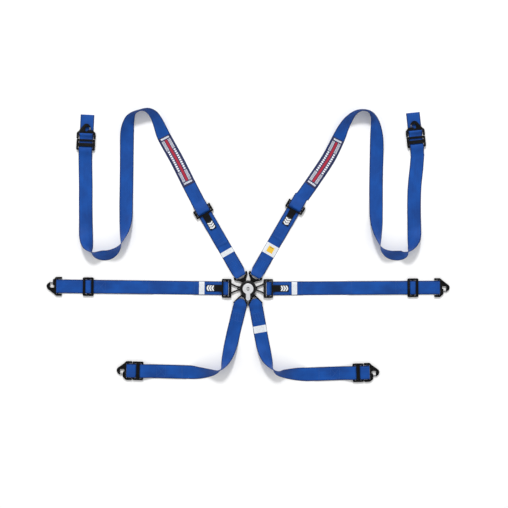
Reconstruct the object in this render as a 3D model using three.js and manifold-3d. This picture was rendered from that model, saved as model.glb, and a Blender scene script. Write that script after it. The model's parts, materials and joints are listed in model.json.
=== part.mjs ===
import * as THREE from "three";
import { mergeVertices } from "three/addons/utils/BufferGeometryUtils.js";
import Module from "manifold-3d";

// Six-point racing harness laid out flat, millimetres, +Z up.
// The origin is the middle of the cam lock's back face, and the surface it lies on is z = 0.

const wasm = await Module();
wasm.setup();

// Webbing
const WEB_WIDTH = 50;
const WEB_THICKNESS = 1.5;
const LAYER_STEP = 1.85;
const FLOOR_LAYER = WEB_THICKNESS / 2;
const SECOND_LAYER = FLOOR_LAYER + LAYER_STEP;
const THIRD_LAYER = SECOND_LAYER + LAYER_STEP;
const PATCH_LENGTH = 203;
const PATCH_WIDTH = 44;
const PATCH_THICKNESS = 1;

// Cam lock
const LOCK_RADIUS = 30;
const BACK_PLATE_THICKNESS = 3;
const HOUSING_BOTTOM = 3.3;
const HOUSING_TOP = 20;
const HOUSING_WALL = 2.8;
const ROTOR_RADIUS = 24;
const ROTOR_BOTTOM = 12.6;
const ROTOR_THICKNESS = 3;
const HUB_RADIUS = 6.5;
const HUB_TOP = 22.6;
const RUNNING_GAP = 0.4;
const LEVER_DISC_RADIUS = 19.3;
const LEVER_TAIL_REACH = 42.5;
const LEVER_TAIL_WIDTH = 15;
const LEVER_BORDER = 3;
const LEVER_BASE_BOTTOM = 20.4;
const LEVER_BOTTOM = 22.8;
const LEVER_TOP = 26.4;
const SCREW_OFFSET = 4.1;
const LATCH_RADIUS = 3;
const LATCH_DISTANCE = 19;
const LATCH_TOP = 12.2;

// Tongue plates
const PLATE_BOTTOM = 4.2;
const PLATE_THICKNESS = 3.5;
const PLATE_MIDDLE = PLATE_BOTTOM + PLATE_THICKNESS / 2;
const BLADE_TIP = 10;
const BLADE_HALF_WIDTH = 8;
const BLADE_HOLE_RADIUS = 4.2;
const BAR_SIZE = 4;
const LOOP_RADIUS = 4.05;

// Adjusters
const FRAME_HALF_WIDTH = 34.5;
const RAIL_INSIDE = 29;
const SLIDE_BAR_RADIUS = 4;
const SLIDE_BAR_PIN_RADIUS = 1.5;
const SLIDE_LOOP_RADIUS = SLIDE_BAR_RADIUS + 0.3 + WEB_THICKNESS / 2;
const TAB_THICKNESS = 1.2;
const TAB_WIDTH = 25;
const TAB_BEND_RADIUS = 4;

// Three-bar sliders
const SLIDER_LENGTH = 40;
const SLIDER_WIDTH = 68;
const SLIDER_BOTTOM = 4;
const SLIDER_THICKNESS = 3;
const SLIDER_SLOT_HALF_WIDTH = 27.5;
const SHOULDER_SLIDER_LIFT = 1.8;
const FACE_UP = { barHalf: 4.2, barBottom: -1, slotFrom: 4.5, slotTo: 11, outside: FLOOR_LAYER, rise: 5.9 };
const FACE_DOWN = { barHalf: 6.3, barBottom: 1.4, slotFrom: 6.9, slotTo: 12.9, outside: 8.05, rise: -5.55 };

// Snap hooks
const HOOK_THICKNESS = 4;
const HOOK_BAR_HALF = 2;
const HOOK_EAR_BACK = 16.5;
const HOOK_EAR_INSIDE = 27.5;
const HOOK_BASE_HALF_WIDTH = 34.5;
const HOOK_TIP_CENTRE = 27;
const HOOK_TIP_RADIUS = 13;
const HOOK_SLOT_END = 5.6;
const HOOK_SLOT_HALF_WIDTH = 27;
const HOOK_EYE_FROM = 11.5;
const HOOK_EYE_TO = 28.5;
const HOOK_EYE_RADIUS = 5;
const HOOK_MOUTH_FROM = 17;
const HOOK_MOUTH_TO = 27;
const GATE_RADIUS = 2.1;
const GATE_PIVOT = [19.5, 13];
const GATE_REACH = 5;
const LOW_BAR_HEIGHT = FLOOR_LAYER + LOOP_RADIUS;
const HIGH_BAR_HEIGHT = SECOND_LAYER + LOOP_RADIUS;

// Where things sit along each strap, measured from the lock's axis
const LAP_TAIL_END = 201;
const LAP_FRAME_LENGTH = 35;
const FRAME_BAR_WIDTH = 5.5;
const LAP_FRONT_BAR_WIDTH = 9.5;
const TAB_REACH = 60;
const SHOULDER_TAB_REACH = 62;
const SHOULDER_BAR = 55.5;
const SHOULDER_HEM_END = 120;
const SLIDER_TO_HOOK = 37.5;
const LAP_HOOK = 696;

const group = new THREE.Group();

const BLUE_WEBBING = new THREE.MeshStandardMaterial({ color: 0x1f4e98, roughness: 0.85, metalness: 0 });
const BLACK_STEEL = new THREE.MeshStandardMaterial({ color: 0x0b0b0d, roughness: 0.4, metalness: 0.7 });
const BLACK_PAINT = new THREE.MeshStandardMaterial({ color: 0x0d0d10, roughness: 0.45, metalness: 0.2 });
const SATIN_ALUMINIUM = new THREE.MeshStandardMaterial({ color: 0xc8cbce, roughness: 0.35, metalness: 0.9 });
const BRIGHT_STEEL = new THREE.MeshStandardMaterial({ color: 0x9a9da1, roughness: 0.35, metalness: 1 });
const BLACK_WEBBING = new THREE.MeshStandardMaterial({ color: 0x121214, roughness: 0.9, metalness: 0 });
const NAVY_WEAVE = new THREE.MeshStandardMaterial({ color: 0x1a2350, roughness: 0.85, metalness: 0 });

function radians(degrees) {
  return THREE.MathUtils.degToRad(degrees);
}

function add(name, geometry, material, parent = group) {
  const mesh = new THREE.Mesh(geometry, material);
  mesh.name = name;
  parent.add(mesh);
  return mesh;
}

// Local X runs along the heading, local Y to its left.
function placed(x, y, heading, z = 0) {
  const holder = new THREE.Group();
  holder.position.set(x, y, z);
  holder.rotation.z = radians(heading);
  group.add(holder);
  return holder;
}

function solid(geometry) {
  const bare = geometry.clone();
  bare.deleteAttribute("normal");
  bare.deleteAttribute("uv");
  const merged = mergeVertices(bare, 1e-4);
  const mesh = new wasm.Mesh({
    numProp: 3,
    vertProperties: new Float32Array(merged.attributes.position.array),
    triVerts: new Uint32Array(merged.index.array),
  });
  return new wasm.Manifold(mesh);
}

function geometryOf(manifold) {
  const mesh = manifold.getMesh();
  const geometry = new THREE.BufferGeometry();
  geometry.setAttribute("position", new THREE.BufferAttribute(new Float32Array(mesh.vertProperties), 3));
  geometry.setIndex(new THREE.BufferAttribute(new Uint32Array(mesh.triVerts), 1));
  geometry.computeVertexNormals();
  return geometry;
}

function shapeOf(points) {
  return new THREE.Shape(points.map(([x, y]) => new THREE.Vector2(x, y)));
}

function plate(shape, bottom, thickness, curveSegments = 8) {
  const geometry = new THREE.ExtrudeGeometry(shape, { depth: thickness, bevelEnabled: false, curveSegments });
  geometry.translate(0, 0, bottom);
  return solid(geometry);
}

function block(x0, x1, y0, y1, z0, z1) {
  const geometry = new THREE.BoxGeometry(x1 - x0, y1 - y0, z1 - z0);
  geometry.translate((x0 + x1) / 2, (y0 + y1) / 2, (z0 + z1) / 2);
  return solid(geometry);
}

function upright(radius, x, y, z0, z1, sides = 24) {
  const geometry = new THREE.CylinderGeometry(radius, radius, z1 - z0, sides);
  geometry.rotateX(Math.PI / 2);
  geometry.translate(x, y, (z0 + z1) / 2);
  return solid(geometry);
}

function crossRod(radius, x, z, halfLength, sides = 16) {
  const geometry = new THREE.CylinderGeometry(radius, radius, halfLength * 2, sides);
  geometry.translate(x, 0, z);
  return solid(geometry);
}

function roundedRectangle(x0, x1, halfWidth, radius) {
  const shape = new THREE.Shape();
  shape.moveTo(x0 + radius, -halfWidth);
  shape.lineTo(x1 - radius, -halfWidth);
  shape.quadraticCurveTo(x1, -halfWidth, x1, -halfWidth + radius);
  shape.lineTo(x1, halfWidth - radius);
  shape.quadraticCurveTo(x1, halfWidth, x1 - radius, halfWidth);
  shape.lineTo(x0 + radius, halfWidth);
  shape.quadraticCurveTo(x0, halfWidth, x0, halfWidth - radius);
  shape.lineTo(x0, -halfWidth + radius);
  shape.quadraticCurveTo(x0, -halfWidth, x0 + radius, -halfWidth);
  return shape;
}

function stadium(x0, x1, y, radius) {
  const shape = new THREE.Shape();
  shape.moveTo(x0, y - radius);
  shape.lineTo(x1, y - radius);
  shape.absarc(x1, y, radius, -Math.PI / 2, Math.PI / 2, false);
  shape.lineTo(x0, y + radius);
  shape.absarc(x0, y, radius, Math.PI / 2, Math.PI * 1.5, false);
  return shape;
}

// A flat strip of constant width along a plane curve.
function stripShape(from, bend, to, width, steps = 8) {
  const curve = new THREE.QuadraticBezierCurve(
    new THREE.Vector2(...from), new THREE.Vector2(...bend), new THREE.Vector2(...to));
  const left = [];
  const right = [];
  for (let i = 0; i <= steps; i += 1) {
    const point = curve.getPoint(i / steps);
    const along = curve.getTangent(i / steps);
    const side = new THREE.Vector2(-along.y, along.x).multiplyScalar(width / 2);
    left.push(point.clone().add(side));
    right.unshift(point.clone().sub(side));
  }
  return new THREE.Shape([...right, ...left]);
}

// ---- Webbing ------------------------------------------------------------------------------

// A frame of a ribbon: its middle, the direction across it and its width there.
function frameAt(point, along, across, width = WEB_WIDTH) {
  const side = across.clone().addScaledVector(along, -across.dot(along)).normalize();
  return { point, side, up: along.clone().cross(side).normalize(), width };
}

function ribbon(frames, thickness = WEB_THICKNESS) {
  const positions = [];
  const index = [];
  for (const { point, side, up, width } of frames) {
    for (const [across, height] of [[1, 1], [-1, 1], [-1, -1], [1, -1]]) {
      const corner = point.clone();
      corner.addScaledVector(side, across * width / 2);
      corner.addScaledVector(up, height * thickness / 2);
      positions.push(corner.x, corner.y, corner.z);
    }
  }
  for (let i = 0; i + 1 < frames.length; i += 1) {
    for (let k = 0; k < 4; k += 1) {
      const a = i * 4 + k;
      const b = i * 4 + (k + 1) % 4;
      if (k === 2) {
        index.push(a, b, b + 4, a, b + 4, a + 4);
      } else {
        index.push(a, b, a + 4, b, b + 4, a + 4);
      }
    }
  }
  const last = (frames.length - 1) * 4;
  index.push(0, 3, 2, 0, 2, 1, last, last + 1, last + 2, last, last + 2, last + 3);
  const geometry = new THREE.BufferGeometry();
  geometry.setAttribute("position", new THREE.Float32BufferAttribute(positions, 3));
  geometry.setIndex(index);
  geometry.computeVertexNormals();
  return geometry;
}

// Frames of webbing that follows a side-view profile of [distance, height, width] along a heading.
function profileFrames(origin, heading, profile) {
  const ahead = new THREE.Vector3(Math.cos(radians(heading)), Math.sin(radians(heading)), 0);
  const left = new THREE.Vector3(-ahead.y, ahead.x, 0);
  const points = profile.map(([u, z]) =>
    new THREE.Vector3(origin[0], origin[1], z).addScaledVector(ahead, u));
  return points.map((point, i) => {
    const before = points[Math.max(i - 1, 0)];
    const after = points[Math.min(i + 1, points.length - 1)];
    const along = after.clone().sub(before).normalize();
    return frameAt(point, along, left, profile[i][2] ?? WEB_WIDTH);
  });
}

// Frames of webbing lying on the surface through stations of [x, y, roll]. The roll lifts the
// left edge when positive and the right edge when negative, and the low edge stays on the surface.
function laidFrames(stations, stepLength = 20) {
  const place = [0];
  for (let i = 1; i < stations.length; i += 1) {
    const [x0, y0] = stations[i - 1];
    const [x1, y1] = stations[i];
    place.push(place[i - 1] + Math.hypot(x1 - x0, y1 - y0));
  }
  const slope = stations.map((station, i) => {
    const a = Math.max(i - 1, 0);
    const b = Math.min(i + 1, stations.length - 1);
    return [0, 1, 2].map((k) => (stations[b][k] - stations[a][k]) / (place[b] - place[a]));
  });
  const samples = [];
  for (let i = 0; i + 1 < stations.length; i += 1) {
    const span = place[i + 1] - place[i];
    const count = Math.max(2, Math.round(span / stepLength));
    for (let j = 0; j < count + (i + 2 === stations.length ? 1 : 0); j += 1) {
      const t = j / count;
      const [x, y, roll] = [0, 1, 2].map((k) =>
        (2 * t ** 3 - 3 * t ** 2 + 1) * stations[i][k] + (t ** 3 - 2 * t ** 2 + t) * span * slope[i][k]
        + (3 * t ** 2 - 2 * t ** 3) * stations[i + 1][k] + (t ** 3 - t ** 2) * span * slope[i + 1][k]);
      const turn = radians(roll);
      const z = FLOOR_LAYER + (WEB_WIDTH / 2) * Math.abs(Math.sin(turn));
      samples.push({ point: new THREE.Vector3(x, y, z), turn });
    }
  }
  return samples.map(({ point, turn }, i) => {
    const before = samples[Math.max(i - 1, 0)].point;
    const after = samples[Math.min(i + 1, samples.length - 1)].point;
    const along = after.clone().sub(before).normalize();
    const left = new THREE.Vector3(-along.y, along.x, 0).normalize();
    const across = left.multiplyScalar(Math.cos(turn)).add(new THREE.Vector3(0, 0, Math.sin(turn)));
    return frameAt(point, along, across);
  });
}

// Points round a bar, from one angle to another, in a side view.
function arc(centreU, centreZ, radius, fromAngle, toAngle, steps) {
  return Array.from({ length: steps + 1 }, (_, i) => {
    const angle = radians(fromAngle + (toAngle - fromAngle) * i / steps);
    return [centreU + radius * Math.cos(angle), centreZ + radius * Math.sin(angle)];
  });
}

// Two layers of webbing through a slider at zero: under its outer bars and over its middle bar, or
// the other way about where the slider lies on its face.
function woven(lift, face, steps = 6) {
  const points = [[-18, face.outside]];
  for (const way of [-1, 1]) {
    for (let i = 0; i <= steps; i += 1) {
      const share = way < 0 ? i / steps : 1 - i / steps;
      const u = way * (face.slotTo - (face.slotTo - face.slotFrom) * share);
      points.push([u, face.outside + face.rise * (1 - Math.cos(Math.PI * share)) / 2]);
    }
  }
  points.push([18, face.outside]);
  return points.map(([u, z], i) => {
    const [u0, z0] = points[Math.max(i - 1, 0)];
    const [u1, z1] = points[Math.min(i + 1, points.length - 1)];
    const length = Math.hypot(u1 - u0, z1 - z0);
    return [u - lift * (z1 - z0) / length, z + lift * (u1 - u0) / length];
  });
}

function shifted(points, u) {
  return points.map(([a, z, width]) => [a + u, z, width]);
}

// The doubled end of a strap: through the slider, round the hook's bar, back and along itself.
function doubledEnd(sliderAt, hook, tailEnd) {
  return [
    ...shifted(woven(LAYER_STEP, FACE_UP), sliderAt),
    [hook - 16, SECOND_LAYER],
    [hook - 12.5, 2.9],
    [hook - 9, 4.4],
    ...arc(hook, LOW_BAR_HEIGHT, LOOP_RADIUS, 120, -90, 12),
    [hook - 6, FLOOR_LAYER],
    ...shifted(woven(0, FACE_UP), sliderAt).reverse(),
    [tailEnd, FLOOR_LAYER],
  ];
}

// The same end where the strap lies face down: over the slider's outer bars and under its middle bar.
function crossedEnd(sliderAt, tailEnd) {
  const hook = sliderAt + SLIDER_TO_HOOK;
  const climb = (lift) => [[sliderAt - 62, FLOOR_LAYER + lift], [sliderAt - 48, 2.15 + lift],
    [sliderAt - 30, 6.55 + lift]];
  return [
    ...climb(LAYER_STEP),
    ...shifted(woven(LAYER_STEP, FACE_DOWN), sliderAt),
    [hook - 10, 9.7],
    ...arc(hook, LOW_BAR_HEIGHT, LOOP_RADIUS, 100, -90, 12),
    [hook - 5, 1.5],
    [hook - 9, 3.9],
    [hook - 12.5, 6.4],
    [hook - 16, 8],
    ...shifted(woven(0, FACE_DOWN), sliderAt).reverse(),
    ...climb(0).reverse(),
    [tailEnd, FLOOR_LAYER],
  ];
}

// The shoulder end: over one bar of the slider, under the other two, round the hook's bar and then
// folded back under itself, so that the free tail lies under the hook and runs out past it.
function foldedEnd(sliderAt, tailPastHook) {
  const hook = sliderAt + SLIDER_TO_HOOK;
  const over = SLIDER_BOTTOM + SHOULDER_SLIDER_LIFT + SLIDER_THICKNESS + 1.05;
  const fold = sliderAt - 14;
  const dive = Array.from({ length: 6 }, (_, i) => {
    const share = (i + 1) / 6;
    const u = sliderAt - FACE_DOWN.slotTo + (FACE_DOWN.slotTo - FACE_DOWN.slotFrom) * share;
    return [u, over - (over - THIRD_LAYER) * (1 - Math.cos(Math.PI * share)) / 2];
  });
  return [
    [sliderAt - 34, 5.4],
    [sliderAt - 29, 7.6],
    [sliderAt - 24, 9.3],
    [sliderAt - 19, over],
    [sliderAt - FACE_DOWN.slotTo, over],
    ...dive,
    [sliderAt + 20.6, THIRD_LAYER],
    [hook - 10.4, 4.65],
    [hook - 7, 6.6],
    ...arc(hook, HIGH_BAR_HEIGHT, LOOP_RADIUS, 125, -90, 12),
    [hook - 8, SECOND_LAYER],
    [fold, SECOND_LAYER],
    ...arc(fold, (FLOOR_LAYER + SECOND_LAYER) / 2, LAYER_STEP / 2, 90, 270, 6).slice(1),
    [hook, FLOOR_LAYER],
    [hook + tailPastHook, FLOOR_LAYER],
  ];
}

// ---- Cam lock -----------------------------------------------------------------------------

const SLOT_HEADINGS = { shoulder_left: 120, shoulder_right: 60, lap_left: 180, lap_right: 0,
  crotch_left: 235, crotch_right: 305 };

function makeLock() {
  add("lock_back_plate", geometryOf(upright(LOCK_RADIUS, 0, 0, 0, BACK_PLATE_THICKNESS, 40)), BLACK_PAINT);

  const inside = LOCK_RADIUS - HOUSING_WALL;
  const ceiling = HOUSING_TOP - HOUSING_WALL;
  const hole = HUB_RADIUS + RUNNING_GAP;
  const profile = [[LOCK_RADIUS, HOUSING_BOTTOM], [LOCK_RADIUS, 16.5], [LOCK_RADIUS - 1.2, 18.8],
    [LOCK_RADIUS - 3.5, HOUSING_TOP], [hole, HOUSING_TOP], [hole, ceiling], [inside, ceiling],
    [inside, HOUSING_BOTTOM], [LOCK_RADIUS, HOUSING_BOTTOM]];
  const turned = new THREE.LatheGeometry(profile.map(([r, z]) => new THREE.Vector2(r, z)), 40);
  turned.rotateX(Math.PI / 2);
  let housing = solid(turned);
  for (const heading of Object.values(SLOT_HEADINGS)) {
    const slot = block(LOCK_RADIUS - 8, LOCK_RADIUS + 4, -BLADE_HALF_WIDTH - 1, BLADE_HALF_WIDTH + 1,
      HOUSING_BOTTOM - 1, PLATE_BOTTOM + PLATE_THICKNESS + RUNNING_GAP);
    housing = housing.subtract(slot.rotate([0, 0, heading]));
  }
  add("lock_housing", geometryOf(housing), BLACK_PAINT);

  const rotorTop = ROTOR_BOTTOM + ROTOR_THICKNESS;
  let rotor = upright(ROTOR_RADIUS, 0, 0, ROTOR_BOTTOM, rotorTop, 36);
  rotor = rotor.add(upright(HUB_RADIUS, 0, 0, rotorTop - 1, HUB_TOP, 24));
  rotor = rotor.add(upright(3, 0, 0, PLATE_BOTTOM, ROTOR_BOTTOM + 1, 16));
  for (const y of [SCREW_OFFSET, -SCREW_OFFSET]) {
    rotor = rotor.subtract(upright(1.6, 0, y, 17, HUB_TOP + 1, 12));
  }
  add("cam_rotor", geometryOf(rotor), BRIGHT_STEEL);

  const coil = new THREE.CatmullRomCurve3(Array.from({ length: 41 }, (_, i) => {
    const turn = i / 40 * 4 * Math.PI * 2;
    return new THREE.Vector3(5.2 * Math.cos(turn), 5.2 * Math.sin(turn), 4.5 + 7.2 * i / 40);
  }));
  const wire = new THREE.Shape().absarc(0, 0, 0.6, 0, Math.PI * 2);
  const spring = new THREE.ExtrudeGeometry(wire, { steps: 64, extrudePath: coil, curveSegments: 3 });
  add("return_spring", geometryOf(solid(spring)), BRIGHT_STEEL);

  for (const [name, heading] of Object.entries(SLOT_HEADINGS)) {
    const x = LATCH_DISTANCE * Math.cos(radians(heading));
    const y = LATCH_DISTANCE * Math.sin(radians(heading));
    const pin = upright(LATCH_RADIUS, x, y, HOUSING_BOTTOM, LATCH_TOP, 16);
    add(`latch_${name}`, geometryOf(pin), BRIGHT_STEEL);
  }
}

function leverShape(discRadius, tailWidth, tailReach) {
  const half = tailWidth / 2;
  const shoulder = Math.asin(half / discRadius);
  const shape = new THREE.Shape();
  shape.moveTo(-half, -Math.cos(shoulder) * discRadius);
  shape.lineTo(-half, -tailReach + half);
  shape.absarc(0, -tailReach + half, half, Math.PI, Math.PI * 2, false);
  shape.lineTo(half, -Math.cos(shoulder) * discRadius);
  shape.absarc(0, 0, discRadius, -Math.PI / 2 + shoulder, Math.PI * 1.5 - shoulder, false);
  return shape;
}

function makeLever() {
  const baseShape = leverShape(LEVER_DISC_RADIUS + LEVER_BORDER, LEVER_TAIL_WIDTH + 5, LEVER_TAIL_REACH + 2);
  let base = plate(baseShape, LEVER_BASE_BOTTOM, LEVER_BOTTOM - LEVER_BASE_BOTTOM - 0.3, 16);
  base = base.subtract(upright(HUB_RADIUS + 0.3, 0, 0, HOUSING_TOP, LEVER_BOTTOM, 24));
  add("lever_base", geometryOf(base), BLACK_PAINT);

  let lever = plate(leverShape(LEVER_DISC_RADIUS, LEVER_TAIL_WIDTH, LEVER_TAIL_REACH), LEVER_BOTTOM,
    LEVER_TOP - LEVER_BOTTOM, 16);
  for (const y of [SCREW_OFFSET, -SCREW_OFFSET]) {
    lever = lever.subtract(upright(1.6, 0, y, LEVER_BOTTOM - 1, LEVER_TOP + 1, 12));
    lever = lever.subtract(upright(2.4, 0, y, LEVER_TOP - 1.8, LEVER_TOP + 1, 16));
  }
  add("release_lever", geometryOf(lever), SATIN_ALUMINIUM);

  for (const [name, y] of [["lever_screw_upper", SCREW_OFFSET], ["lever_screw_lower", -SCREW_OFFSET]]) {
    const head = upright(2.05, 0, y, LEVER_TOP - 1.5, LEVER_TOP - 0.3, 16);
    const shank = upright(1.3, 0, y, 17.6, LEVER_TOP - 1, 12);
    add(name, geometryOf(head.add(shank)), BLACK_STEEL);
  }
}

// ---- Tongues and adjusters ----------------------------------------------------------------

function blade(reach) {
  const shape = stadium(BLADE_TIP + BLADE_HALF_WIDTH, reach - BLADE_HALF_WIDTH, 0, BLADE_HALF_WIDTH);
  return plate(shape, PLATE_BOTTOM, PLATE_THICKNESS);
}

function latchHole() {
  return upright(BLADE_HOLE_RADIUS, LATCH_DISTANCE, 0, 0, HOUSING_TOP, 16);
}

function cheekSlot(slideBarAt, height) {
  const run = 3.5;
  return block(slideBarAt - run, slideBarAt + run, -FRAME_HALF_WIDTH - 1, FRAME_HALF_WIDTH + 1,
    height - SLIDE_BAR_PIN_RADIUS - 0.35, height + SLIDE_BAR_PIN_RADIUS + 0.35);
}

function slideBar(at, height) {
  const bar = crossRod(SLIDE_BAR_RADIUS, at, height, RAIL_INSIDE - 0.4, 18);
  return bar.add(crossRod(SLIDE_BAR_PIN_RADIUS, at, height, FRAME_HALF_WIDTH - 0.5, 12));
}

// A lap tongue is one plate: blade, two curved arms and the adjuster's frame.
function makeLapTongue(side, frameStart, holder) {
  const frameEnd = frameStart + LAP_FRAME_LENGTH;
  const slideBarAt = frameStart + 17;
  const slideBarHeight = FLOOR_LAYER + SLIDE_LOOP_RADIUS;
  let tongue = blade(frameStart - 22);
  for (const way of [-1, 1]) {
    const arm = stripShape([frameStart - 29, way * 5], [frameStart - 14, way * 8],
      [frameStart + 2, way * 18], 5);
    tongue = tongue.add(plate(arm, PLATE_BOTTOM, PLATE_THICKNESS));
  }
  const outline = roundedRectangle(frameStart, frameEnd, FRAME_HALF_WIDTH, 4);
  outline.holes.push(roundedRectangle(frameStart + LAP_FRONT_BAR_WIDTH, frameEnd - FRAME_BAR_WIDTH,
    RAIL_INSIDE, 1));
  tongue = tongue.add(plate(outline, PLATE_BOTTOM, PLATE_THICKNESS, 4));
  for (const way of [-1, 1]) {
    const y0 = Math.min(way * RAIL_INSIDE, way * FRAME_HALF_WIDTH);
    const y1 = Math.max(way * RAIL_INSIDE, way * FRAME_HALF_WIDTH);
    tongue = tongue.add(block(slideBarAt - 9, slideBarAt + 9, y0, y1, 2, 9.6));
  }
  tongue = tongue.subtract(cheekSlot(slideBarAt, slideBarHeight));
  tongue = tongue.subtract(latchHole());
  tongue = tongue.subtract(upright(2.4, frameStart - 28, 0, 0, HOUSING_TOP, 12));
  add(`lap_tongue_${side}`, geometryOf(tongue), BLACK_STEEL, holder);
  add(`lap_slide_bar_${side}`, geometryOf(slideBar(slideBarAt, slideBarHeight)), BLACK_STEEL, holder);
}

// Webbing over the adjuster's slide bar, from the free tail to the run along the surface.
function lapWrap(frameStart) {
  const bar = frameStart + 17;
  const windowEnd = frameStart + LAP_FRAME_LENGTH - FRAME_BAR_WIDTH;
  return [
    [LAP_TAIL_END, SECOND_LAYER],
    [windowEnd + 8, SECOND_LAYER],
    [windowEnd + 0.8, 2.7],
    [windowEnd - 1.9, 4.2],
    ...arc(bar, FLOOR_LAYER + SLIDE_LOOP_RADIUS, SLIDE_LOOP_RADIUS, 50, 270, 14),
    [bar + 6, FLOOR_LAYER],
  ];
}

// A short pull tab that hugs a frame bar and lies on the webbing beside it.
function tabProfile(barAt, barHeight, restHeight, reach, outward, startAngle) {
  const bend = arc(0, barHeight, TAB_BEND_RADIUS, startAngle, 145, 5);
  const [lastU, lastZ] = bend[bend.length - 1];
  const profile = [...bend, [lastU - 4.2, (lastZ + restHeight) / 2 + 1.2], [lastU - 11, restHeight + 0.5],
    [lastU - 18, restHeight], [-reach, restHeight]];
  return profile.map(([u, z]) => [barAt - outward * u, z, TAB_WIDTH]);
}

function makeShoulderTongue(side, holder) {
  const barFrom = SHOULDER_BAR - BAR_SIZE / 2;
  const barTo = SHOULDER_BAR + BAR_SIZE / 2;
  const outline = shapeOf([[31, -8], [38, -13.5], [47, -23.5], [50, -27], [58, -27.5], [60, -26],
    [60, -22.5], [barTo, -22.5], [barTo, 22.5], [60, 22.5], [60, 26], [58, 27.5], [50, 27], [47, 23.5],
    [38, 13.5], [31, 8], [26, 6], [26, -6]]);
  const opening = shapeOf([[44.5, -7], [48.5, -14], [49.5, -20], [barFrom, -21], [barFrom, 21], [49.5, 20],
    [48.5, 14], [44.5, 7]]);
  outline.holes.push(opening);
  const tongue = plate(outline, PLATE_BOTTOM, PLATE_THICKNESS).add(blade(34)).subtract(latchHole());
  add(`shoulder_tongue_${side}`, geometryOf(tongue), BLACK_STEEL, holder);
}

// The lower shoulder strap: round the tongue's bar at one end and the adjuster's back bar at the other.
function shoulderLowerProfile(adjusterAt) {
  const backBar = adjusterAt + 14;
  const bunched = ([u, z]) => [u, z, 38 + (u - SHOULDER_BAR) * 1.2];
  return [
    [SHOULDER_HEM_END, FLOOR_LAYER],
    [SHOULDER_BAR + 21, FLOOR_LAYER],
    [SHOULDER_BAR + 14, FLOOR_LAYER, 47],
    [SHOULDER_BAR + 8, 1, 44],
    ...arc(SHOULDER_BAR, PLATE_MIDDLE, LOOP_RADIUS, 275, 70, 12).map(bunched),
    [SHOULDER_BAR + 6, 8.2, 43],
    [SHOULDER_BAR + 14, 4.4, 47],
    [SHOULDER_BAR + 21, 2.8],
    [SHOULDER_HEM_END + 2, SECOND_LAYER],
    [SHOULDER_HEM_END + 8, 1.6],
    [SHOULDER_HEM_END + 16, FLOOR_LAYER],
    [backBar - 8, FLOOR_LAYER],
    ...arc(backBar, LOW_BAR_HEIGHT, LOOP_RADIUS, -90, 120, 12),
    [backBar - 9, 4.4],
    [backBar - 12.5, 2.9],
    [backBar - 16, SECOND_LAYER],
    [adjusterAt - 60, SECOND_LAYER],
  ];
}

const SHOULDER_SLIDE_HEIGHT = 8.1;
const SHOULDER_FRONT_BAR_BOTTOM = 5.7;
const SHOULDER_FRONT_BAR_HEIGHT = SHOULDER_FRONT_BAR_BOTTOM + PLATE_THICKNESS / 2;
const FRONT_BAR_FROM = -14.5;
const FRONT_BAR_TO = -9.8;

function makeShoulderAdjuster(side, holder) {
  const backBar = 14;
  const top = 10.8;
  let frame = block(FRONT_BAR_FROM, FRONT_BAR_TO, -RAIL_INSIDE - 1, RAIL_INSIDE + 1,
    SHOULDER_FRONT_BAR_BOTTOM,
    SHOULDER_FRONT_BAR_BOTTOM + PLATE_THICKNESS);
  frame = frame.add(block(backBar - HOOK_BAR_HALF, backBar + HOOK_BAR_HALF, -RAIL_INSIDE - 1, RAIL_INSIDE + 1,
    LOW_BAR_HEIGHT - HOOK_BAR_HALF, LOW_BAR_HEIGHT + HOOK_BAR_HALF));
  const cheek = shapeOf([[FRONT_BAR_FROM, 5], [FRONT_BAR_FROM + 2, 2], [15, 2], [17, 3.5], [17, 7.5],
    [13, top], [-11, top], [FRONT_BAR_FROM, 9]]);
  for (const start of [RAIL_INSIDE, -FRAME_HALF_WIDTH]) {
    const settings = { depth: FRAME_HALF_WIDTH - RAIL_INSIDE, bevelEnabled: false };
    const geometry = new THREE.ExtrudeGeometry(cheek, settings);
    geometry.rotateX(Math.PI / 2);
    geometry.translate(0, start + FRAME_HALF_WIDTH - RAIL_INSIDE, 0);
    frame = frame.add(solid(geometry));
  }
  frame = frame.subtract(cheekSlot(0, SHOULDER_SLIDE_HEIGHT));
  add(`shoulder_adjuster_frame_${side}`, geometryOf(frame), BLACK_STEEL, holder);
  add(`shoulder_slide_bar_${side}`, geometryOf(slideBar(0, SHOULDER_SLIDE_HEIGHT)), BLACK_STEEL, holder);
}

// The upper shoulder strap inside the adjuster: free tail, under the front bar, over the slide bar
// and down behind the back bar to the surface.
function shoulderWrap(adjusterAt, tailEnd) {
  return [
    [tailEnd, FLOOR_LAYER + LAYER_STEP],
    [adjusterAt - 72, FLOOR_LAYER + LAYER_STEP],
    [adjusterAt - 64, THIRD_LAYER],
    [adjusterAt - 14, THIRD_LAYER],
    [adjusterAt - 11, THIRD_LAYER],
    [adjusterAt - 9.1, 4.8],
    [adjusterAt - 7.8, 5.9],
    ...arc(adjusterAt, SHOULDER_SLIDE_HEIGHT, SLIDE_LOOP_RADIUS, 150, 80, 7),
    [adjusterAt + 7, 12.3],
    [adjusterAt + 14, 11.1],
    [adjusterAt + 20, 9.2],
    [adjusterAt + 27, 5.9],
    [adjusterAt + 34, 2.8],
    [adjusterAt + 40, 1.2],
    [adjusterAt + 46, FLOOR_LAYER],
  ];
}

const CROTCH_BAR_HALF = 24;

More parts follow.
